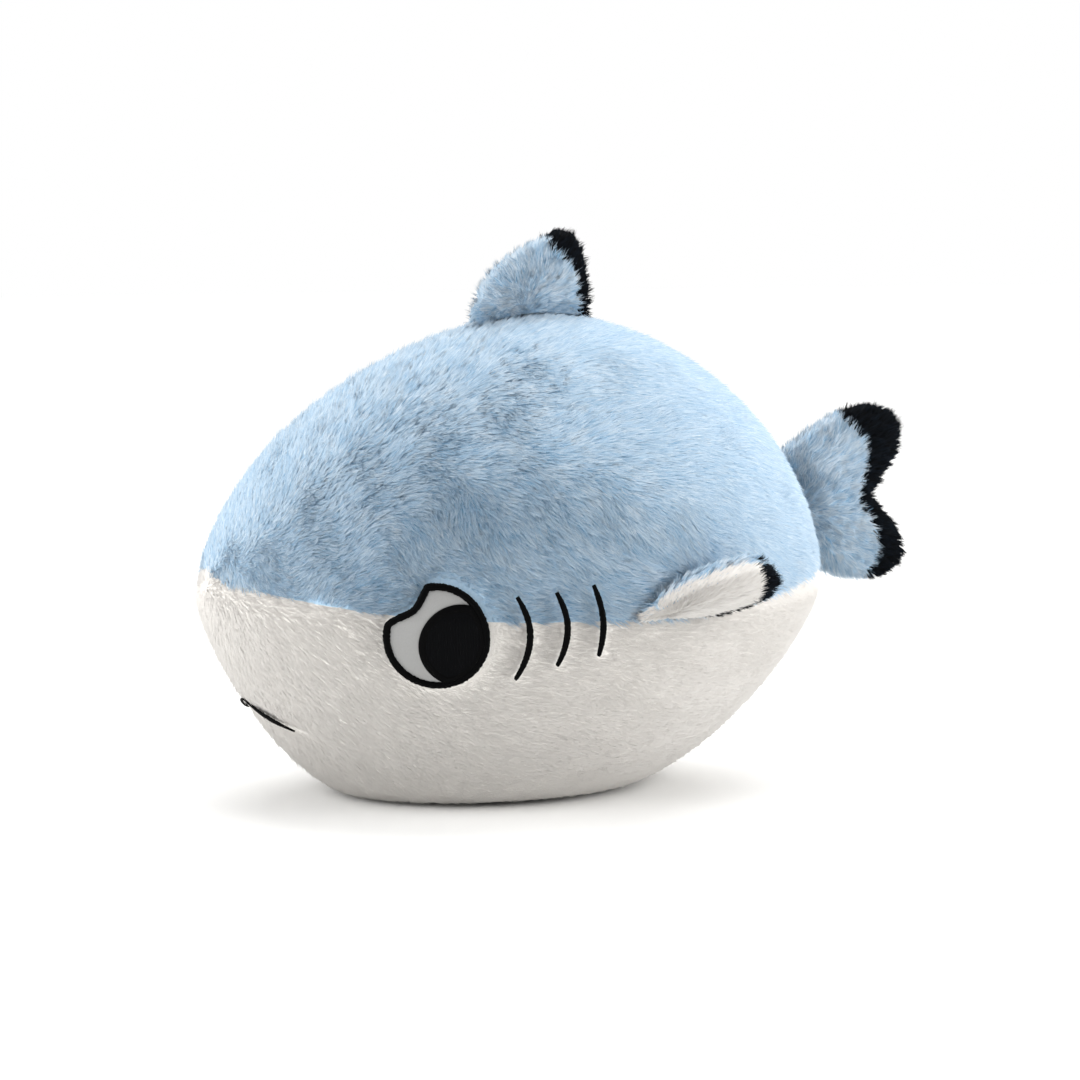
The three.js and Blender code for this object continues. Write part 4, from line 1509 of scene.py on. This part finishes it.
@dataclass
class Fin:
    """A stuffed leaf sewn round its edge, with a dark band along its free edge.

    It is drawn in its own plane: free_edge and root are its outline, distance says how far from the root a place is,
    and band is a polygon round the dark part. The first of its two sides is the one that its last axis faces. Reach
    is how far over the dark band's line a lock of each side may lean, as a share of its length.
    """

    name: str
    free_edge: list[tuple[float, float]]
    root: Array
    distance: Callable[[Array], Array]
    band: Array
    swell: float
    axes: Array
    origin: Array
    sides: tuple[str, str]
    finishes: tuple[PileFinish, PileFinish]
    nodes: dict[str, list[str]]
    nap: Nap = FIN_NAP
    band_nap: Nap = BAND_NAP
    inset: float = 4.2
    rim: float = 2.0
    under_swell: float = 1.0
    under_root: float = 0.3
    reach: tuple[float, float] = (0.75, 0.75)
    root_swell: float = 0.3
    root_run: float = 24.0
    cols: int = 132
    rows: int = 22
    cushion: Cushion | None = None

    def outline(self) -> Array:
        """Draw the outline once round: the free edge and then the root."""
        edge = spline(self.free_edge, self.cols - len(self.root))
        return np.concatenate([edge, self.root])

    def lay_out(self) -> Array:
        """Lay out the cover as rings in the fin's own frame.

        The half thickness at a share s of the way in is rim + swell * sqrt(1 - (1 - s)^2), eased down by the
        root, and the rings go from the middle of one side, round the rim, to the middle of the other.

        Returns:
            The rings' points.
        """
        line = self.outline()
        centre = line.mean(0)
        mean = np.linalg.norm(line - centre, axis=-1).mean()
        keep = 1 - self.inset / mean
        share = 1 - np.sin(np.linspace(0.03, 1, self.rows) * math.pi / 2)
        flat = centre + (line - centre)[None] * (1 - share)[:, None, None] * keep
        ease = self.distance(flat.reshape(-1, 2)).reshape(flat.shape[:2]) / self.root_run
        middle = 1 - (1 - share[:, None]) * keep
        crown = (self.swell - 1.2) * np.sqrt(np.clip(1 - (1 - middle) ** 2, 0, 1))
        over, under = (
            self.rim - 1.2 + crown * swell * (root + (1 - root) * smooth_step(0, 1, ease))
            for swell, root in ((1.0, self.root_swell), (self.under_swell, self.under_root))
        )
        upper = np.concatenate([flat, over[..., None]], -1)
        lower = np.concatenate([flat, -under[..., None]], -1)[::-1]
        return np.concatenate([upper, lower])

    def sew(self) -> Cushion:
        """Turn the cover into the toy's frame, its rim held while it is filled.

        Returns:
            The cover.
        """
        flat = self.lay_out()
        grid = self.origin + flat @ self.axes
        out = grid_normals(grid)
        if ((out * (grid - grid.mean((0, 1)))).sum(-1)).mean() < 0:
            flat, grid = flat[:, ::-1], grid[:, ::-1]
        pinned = np.zeros(grid.shape[:2])
        pinned[self.rows - 1 : self.rows + 1] = 1.0
        plane = flat[..., :2].reshape(-1, 2)
        pinned[self.distance(plane).reshape(pinned.shape) < 4.0] = 1.0
        self.cushion = Cushion(f"{self.name}_cushion", grid, pinned, 2.6)
        dark = within(plane, self.band).reshape(pinned.shape)
        upper = np.arange(len(grid))[:, None] < self.rows
        slots = np.where(dark, 2, np.where(upper, 0, 1))
        materials = [self.finishes[0].backing(), self.finishes[1].backing(), BLACK.backing()]
        self.cushion.cloth(materials, slots)
        return self.cushion

    def dress(self) -> None:
        """Grow the pile of both sides and of the band."""
        register(self.cushion.obj, self.name, self.nodes["filling"])
        for number in (0, 1):
            for dark in (False, True):
                self.cover(number, dark)

    def cover(self, number: int, dark: bool) -> None:
        """Grow the pile of one side, or of the dark band on it.

        Each lock is dark or pale by where its tip lands, so that the two meet in a ragged line. Near the rim the
        pale locks stand up more, and at the root they are shorter.

        Args:
            number: 0 for the first side, 1 for the second.
            dark: True for the band.
        """
        nap = self.band_nap if dark else self.nap
        finish = BLACK if dark else self.finishes[number]
        rows = slice(0, self.rows + 1) if number == 0 else slice(self.rows - 1, 2 * self.rows)
        seed = 71 + 10 * number
        grid = self.cushion.points
        feet, normals = scatter(grid[rows], grid_normals(grid)[rows], nap.density, seed + dark)
        flat = (feet - self.origin) @ self.axes.T
        ahead = unit(flat[:, :2] - self.root.mean(0))
        landing = flat[:, :2] + ahead * self.nap.length * self.reach[number]
        own_side = flat[:, 2] * (1 - 2 * number) > 0
        keep = (within(landing, self.band) == dark) & (self.distance(flat[:, :2]) > 0.5) & own_side
        feet, normals, flat, ahead = feet[keep], normals[keep], flat[keep], ahead[keep]
        pull = np.concatenate([ahead, np.zeros((len(ahead), 1))], -1) @ self.axes
        ways = comb(feet, normals, pull, 0.45, seed + 3)
        near_root = smooth_step(0, 12, self.distance(flat[:, :2]))
        near_rim = 1 - smooth_step(1.0, 6.0, np.abs(flat[:, 2]))
        wild = 0.15 if finish is WHITE else 1.0
        roots = Roots(feet, normals, ways, 0.6 + 0.4 * near_root, 1 + 0.6 * near_rim * (not dark), wild)
        part, key = ("edge_pile", "band") if dark else ("pile", "panel")
        made = grow_pile(f"{self.name}_{part}_{self.sides[number]}", roots, nap, finish, seed + 4)
        register(made, self.name, self.nodes[f"{key}_{number}"])


def centre_fin(
    name: str,
    free_edge: list[tuple[float, float]],
    root: Array,
    distance: Callable[[Array], Array],
    band: Array,
) -> Fin:
    """Make a fin on the centre plane, blue on both sides.

    Args:
        name: the fin's and its body's name.
        free_edge: points of its free edge.
        root: points along its root.
        distance: how far from the root a place of its plane is.
        band: the polygon round its dark part.

    Returns:
        The fin.
    """
    return Fin(
        name=name,
        free_edge=free_edge,
        root=root,
        distance=distance,
        band=band,
        swell=13.0,
        axes=SIDE_AXES,
        origin=np.zeros(3),
        sides=("left", "right"),
        finishes=(BLUE, BLUE),
        nodes={
            "filling": [f"{name}_stuffing"],
            "panel_0": [f"{name}_panel_left"],
            "panel_1": [f"{name}_panel_right"],
            "band_0": [f"{name}_edge_left"],
            "band_1": [f"{name}_edge_right"],
        },
    )


def dorsal_fin() -> Fin:
    """Set out the dorsal fin, whose root follows the back from 15 mm before the origin to 67 mm behind it.

    Returns:
        The fin.
    """
    front, back, tip_y, band = -15.0, 67.0, 48.0, 11.0
    tip = EGG.height + 50.0

    def foot(y: Array) -> Array:
        """Height of the root, tucked into the back's pile."""
        return EGG.back_height(y) - ROOT_TUCK

    free = [
        (front, float(foot(np.array(front)))),
        (front + 10, tip - 36),
        (front + 28, tip - 18),
        (tip_y - 11, tip - 5),
        (tip_y, tip - 1),
        (tip_y + 10, tip - 8),
        (tip_y + 14.5, tip - 24),
        (back - 2.5, tip - 38),
        (back, float(foot(np.array(back)))),
    ]
    y = np.linspace(back, front, 30)[1:-1]
    inner = [
        (tip_y - 16, tip + 6),
        (tip_y - 9, tip - 10),
        (tip_y + 14.5 - band * 0.8, tip - 22),
        (back - band * 0.8, tip - 42),
        (back - 3, tip - 62),
    ]
    return centre_fin(
        name="dorsal_fin",
        free_edge=free,
        root=np.stack([y, foot(y)], -1),
        distance=lambda p: p[:, 1] - foot(p[:, 0]),
        band=np.concatenate([spline(inner, 24), [[back + 40, tip - 62], [back + 40, tip + 20]]]),
    )


def tail_fin() -> Fin:
    """Set out the tail fin: two lobes with a notch between them, on the rump.

    Returns:
        The fin.
    """
    low, high, top, bottom, notch, notch_z, band = 125.0, 194.0, 226.0, 114.0, 20.0, 167.0, 15.0
    reach = EGG.top_y + EGG.rump_reach + 65.5

    def foot(z: Array) -> Array:
        """Reach of the root, tucked into the rump's pile."""
        return EGG.rump_at(z) - ROOT_TUCK

    inner_reach = reach - notch
    free = [
        (float(foot(np.array(low))), low),
        (reach - 42, bottom + 1.5),
        (reach - 16, bottom),
        (reach - 1, bottom + 11),
        (reach - 4, bottom + 29),
        (inner_reach + 3, notch_z - 9),
        (inner_reach - 3.5, notch_z + 2),
        (inner_reach + 3, notch_z + 14),
        (reach - 5, top - 27),
        (reach - 5, top - 8),
        (reach - 17, top),
        (reach - 35, top - 1),
        (reach - 56, top - 10),
        (float(foot(np.array(high))), high),
    ]
    z = np.linspace(high, low, 24)[1:-1]
    inner = [
        (reach - 34, bottom - 12),
        (reach - 18, bottom + 14),
        (inner_reach + 6 - band * 0.5, notch_z - 17),
        (inner_reach - 4 - band * 0.5, notch_z),
        (reach - 12 - band, top - 28),
        (reach - 19 - band, top - 14),
        (reach - 60, top + 10),
    ]
    return centre_fin(
        name="tail_fin",
        free_edge=free,
        root=np.stack([foot(z), z], -1),
        distance=lambda p: p[:, 0] - foot(np.minimum(high, p[:, 1])),
        band=np.concatenate([spline(inner, 30), [[reach + 30, top + 10], [reach + 30, bottom - 12]]]),
    )


def pectoral_fin(side: str, sign: float) -> Fin:
    """Set out one pectoral fin: a leaf on the side seam, swept back and tilted up.

    Args:
        side: "left" or "right", for the names.
        sign: 1 for the shark's left, -1 for its right.

    Returns:
        The fin.
    """
    front_y, back_y, climb, span, sweep, tilt, band = 34.0, 79.0, 0.8, 36.0, 90.0, math.radians(58), 10.0

    def place(y: float, up: float) -> Array:
        """Find a point of the seam that the root follows."""
        z = float(EGG.seam_at(np.array(y))) + up
        return np.array([EGG.flank_at(y, z) - ROOT_TUCK, y, z])

    front, back = place(front_y, climb), place(back_y, -climb / 2)
    along = unit(back - front)
    length = float(np.linalg.norm(back - front))
    level = unit(np.cross(along, [0.0, 0.0, 1.0]))
    out = level * math.cos(tilt) + np.cross(level, along) * math.sin(tilt)
    blue_side = np.cross(out, along)
    flip = np.array([sign, 1.0, 1.0])
    free = [
        (0.0, 0.0),
        (span * 0.58, sweep * 0.3),
        (span * 0.86, sweep * 0.54),
        (span, sweep * 0.78),
        (span * 0.9, sweep * 0.94),
        (span * 0.64, sweep),
        (span * 0.34, sweep * 0.88),
        (span * 0.1, sweep * 0.69),
        (0.0, length),
    ]
    inner = [
        (-10.0, length + band * 0.3),
        (span * 0.12, sweep * 0.7 - band),
        (span * 0.35, sweep * 0.88 - band),
        (span * 0.68, sweep - band),
        (span * 1.15, sweep * 0.86),
    ]
    v = np.linspace(length, 0, 20)[1:-1]
    base = f"pectoral_fin_{side}"
    return Fin(
        name=base,
        free_edge=free,
        root=np.stack([np.zeros_like(v), v], -1),
        distance=lambda p: p[:, 0],
        band=np.concatenate([spline(inner, 24), [[span * 1.15, sweep * 1.3], [-10.0, sweep * 1.3]]]),
        swell=10.0,
        under_swell=1.5,
        under_root=0.5,
        reach=(0.75, 1.5),
        axes=np.stack([out, along, blue_side]) * flip,
        origin=front * flip,
        sides=("top", "underside"),
        finishes=(BLUE, WHITE),
        nodes={
            "filling": [f"{base}_stuffing"],
            "panel_0": [f"{base}_top"],
            "panel_1": [f"{base}_underside"],
            "band_0": [f"{base}_edge_top"],
            "band_1": [f"{base}_edge_under"],
        },
    )


# ------------------------------------------------------------------ studio


@dataclass(frozen=True)
class Studio:
    """A pale floor, soft light from above and behind, and the camera."""

    azimuth: float = 70.0
    elevation: float = 6.0
    distance: float = 1817.0
    lens: float = 100.0
    aim: tuple[float, float, float] = (0.0, 35.5, 165.0)
    shift: tuple[float, float] = (-0.0028, -0.0264)
    softbox_size: float = 1300.0
    softbox_aim: tuple[float, float, float] = (0.0, 30.0, 140.0)
    bank_strength: float = 2.45
    bank_angle: float = 60.0
    bank_direction: tuple[float, float, float] = (-0.4, 0.3, 1.0)
    sky_on_toy: float = 0.36

    def build(self) -> None:
        """Make the floor, the lights, the sky and the camera."""
        self.floor()
        self.light("softbox_by_tail", (900.0, 1500.0, 900.0), self.softbox_size, 25.0)
        self.light("softbox_by_nose", (250.0, -1500.0, 900.0), self.softbox_size, 22.0)
        self.sun()
        self.sky()
        self.camera()
        bpy.context.scene.view_settings.view_transform = "Standard"

    def floor(self) -> None:
        """Make a wide flat floor of matt white paper."""
        reach = 9000.0
        corners = np.array([[-reach, -reach, 0], [reach, -reach, 0], [reach, reach, 0], [-reach, reach, 0]])
        material = bpy.data.materials.new("matt_white_paper")
        material.use_nodes = True
        tree = material.node_tree
        shader = tree.nodes["Principled BSDF"]
        place = add_node(tree, "ShaderNodeTexCoord")
        grain = add_node(tree, "ShaderNodeTexNoise", {"Scale": 3.0, "Detail": 2.0}, Vector=place.outputs["Object"])
        colours = add_node(tree, "ShaderNodeValToRGB", Fac=grain.outputs["Fac"])
        colours.color_ramp.elements[0].color = linear_colour("fafaf9")
        colours.color_ramp.elements[1].color = linear_colour("fdfdfc")
        tree.links.new(colours.outputs["Color"], shader.inputs["Base Color"])
        shader.inputs["Roughness"].default_value = 0.9
        made = mesh_object("floor", corners, [np.array([[0, 1, 2, 3]])], [material])

    def light(self, name: str, place: tuple[float, float, float], size: float, power: float) -> None:
        """Hang one square soft light that points at the toy.

        Args:
            name: the light's name.
            place: where it hangs.
            size: its side.
            power: its power in watts.
        """
        data = bpy.data.lights.new(name, "AREA")
        data.shape = "SQUARE"
        data.size = size * MM
        data.energy = power
        made = bpy.data.objects.new(name, data)
        made.location = Vector(place) * MM
        ahead = Vector(self.softbox_aim) * MM - made.location
        made.rotation_euler = ahead.to_track_quat("-Z", "Y").to_euler()
        bpy.context.scene.collection.objects.link(made)

    def sun(self) -> None:
        """Light the whole floor evenly from above, as a bank of softboxes does."""
        data = bpy.data.lights.new("overhead_bank", "SUN")
        data.energy = self.bank_strength
        data.angle = math.radians(self.bank_angle)
        made = bpy.data.objects.new("overhead_bank", data)
        made.rotation_euler = Vector(self.bank_direction).to_track_quat("Z", "Y").to_euler()
        bpy.context.scene.collection.objects.link(made)

    def sky(self) -> None:
        """Surround the studio with white: bright behind the toy, dimmer as a light on it."""
        world = bpy.data.worlds.new("white_studio")
        bpy.context.scene.world = world
        world.use_nodes = True
        tree = world.node_tree
        tree.nodes.clear()
        dim = add_node(tree, "ShaderNodeBackground", {"Color": linear_colour("ffffff"), "Strength": self.sky_on_toy})
        bright = add_node(tree, "ShaderNodeBackground", {"Color": linear_colour("ffffff"), "Strength": 1.0})
        path = add_node(tree, "ShaderNodeLightPath")
        mixed = add_node(tree, "ShaderNodeMixShader", Fac=path.outputs["Is Camera Ray"])
        tree.links.new(dim.outputs[0], mixed.inputs[1])
        tree.links.new(bright.outputs[0], mixed.inputs[2])
        add_node(tree, "ShaderNodeOutputWorld", Surface=mixed.outputs[0])

    def camera(self) -> None:
        """Set the camera low at the toy's front left, with a long lens."""
        a, e = math.radians(self.azimuth), math.radians(self.elevation)
        away = Vector((math.sin(a) * math.cos(e), -math.cos(a) * math.cos(e), math.sin(e)))
        data = bpy.data.cameras.new("camera")
        data.lens = self.lens
        data.sensor_width = 36.0
        data.shift_x, data.shift_y = self.shift
        data.clip_start = 0.05
        data.clip_end = 60.0
        made = bpy.data.objects.new("camera", data)
        made.location = (Vector(self.aim) + away * self.distance) * MM
        made.rotation_euler = (-away).to_track_quat("-Z", "Y").to_euler()
        bpy.context.scene.collection.objects.link(made)
        bpy.context.scene.camera = made


def main() -> None:
    """Build the toy from its cloth outwards, then the studio."""
    logging.basicConfig(level=logging.INFO, format="%(message)s")
    body = Body()
    fins = [dorsal_fin(), tail_fin(), pectoral_fin("left", 1.0), pectoral_fin("right", -1.0)]
    covers = [body.sew()] + [fin.sew() for fin in fins]
    fill(covers)
    body.dress()
    for fin in fins:
        fin.dress()
    Face().build()
    Studio().build()


if __name__ == "__main__":
    main()
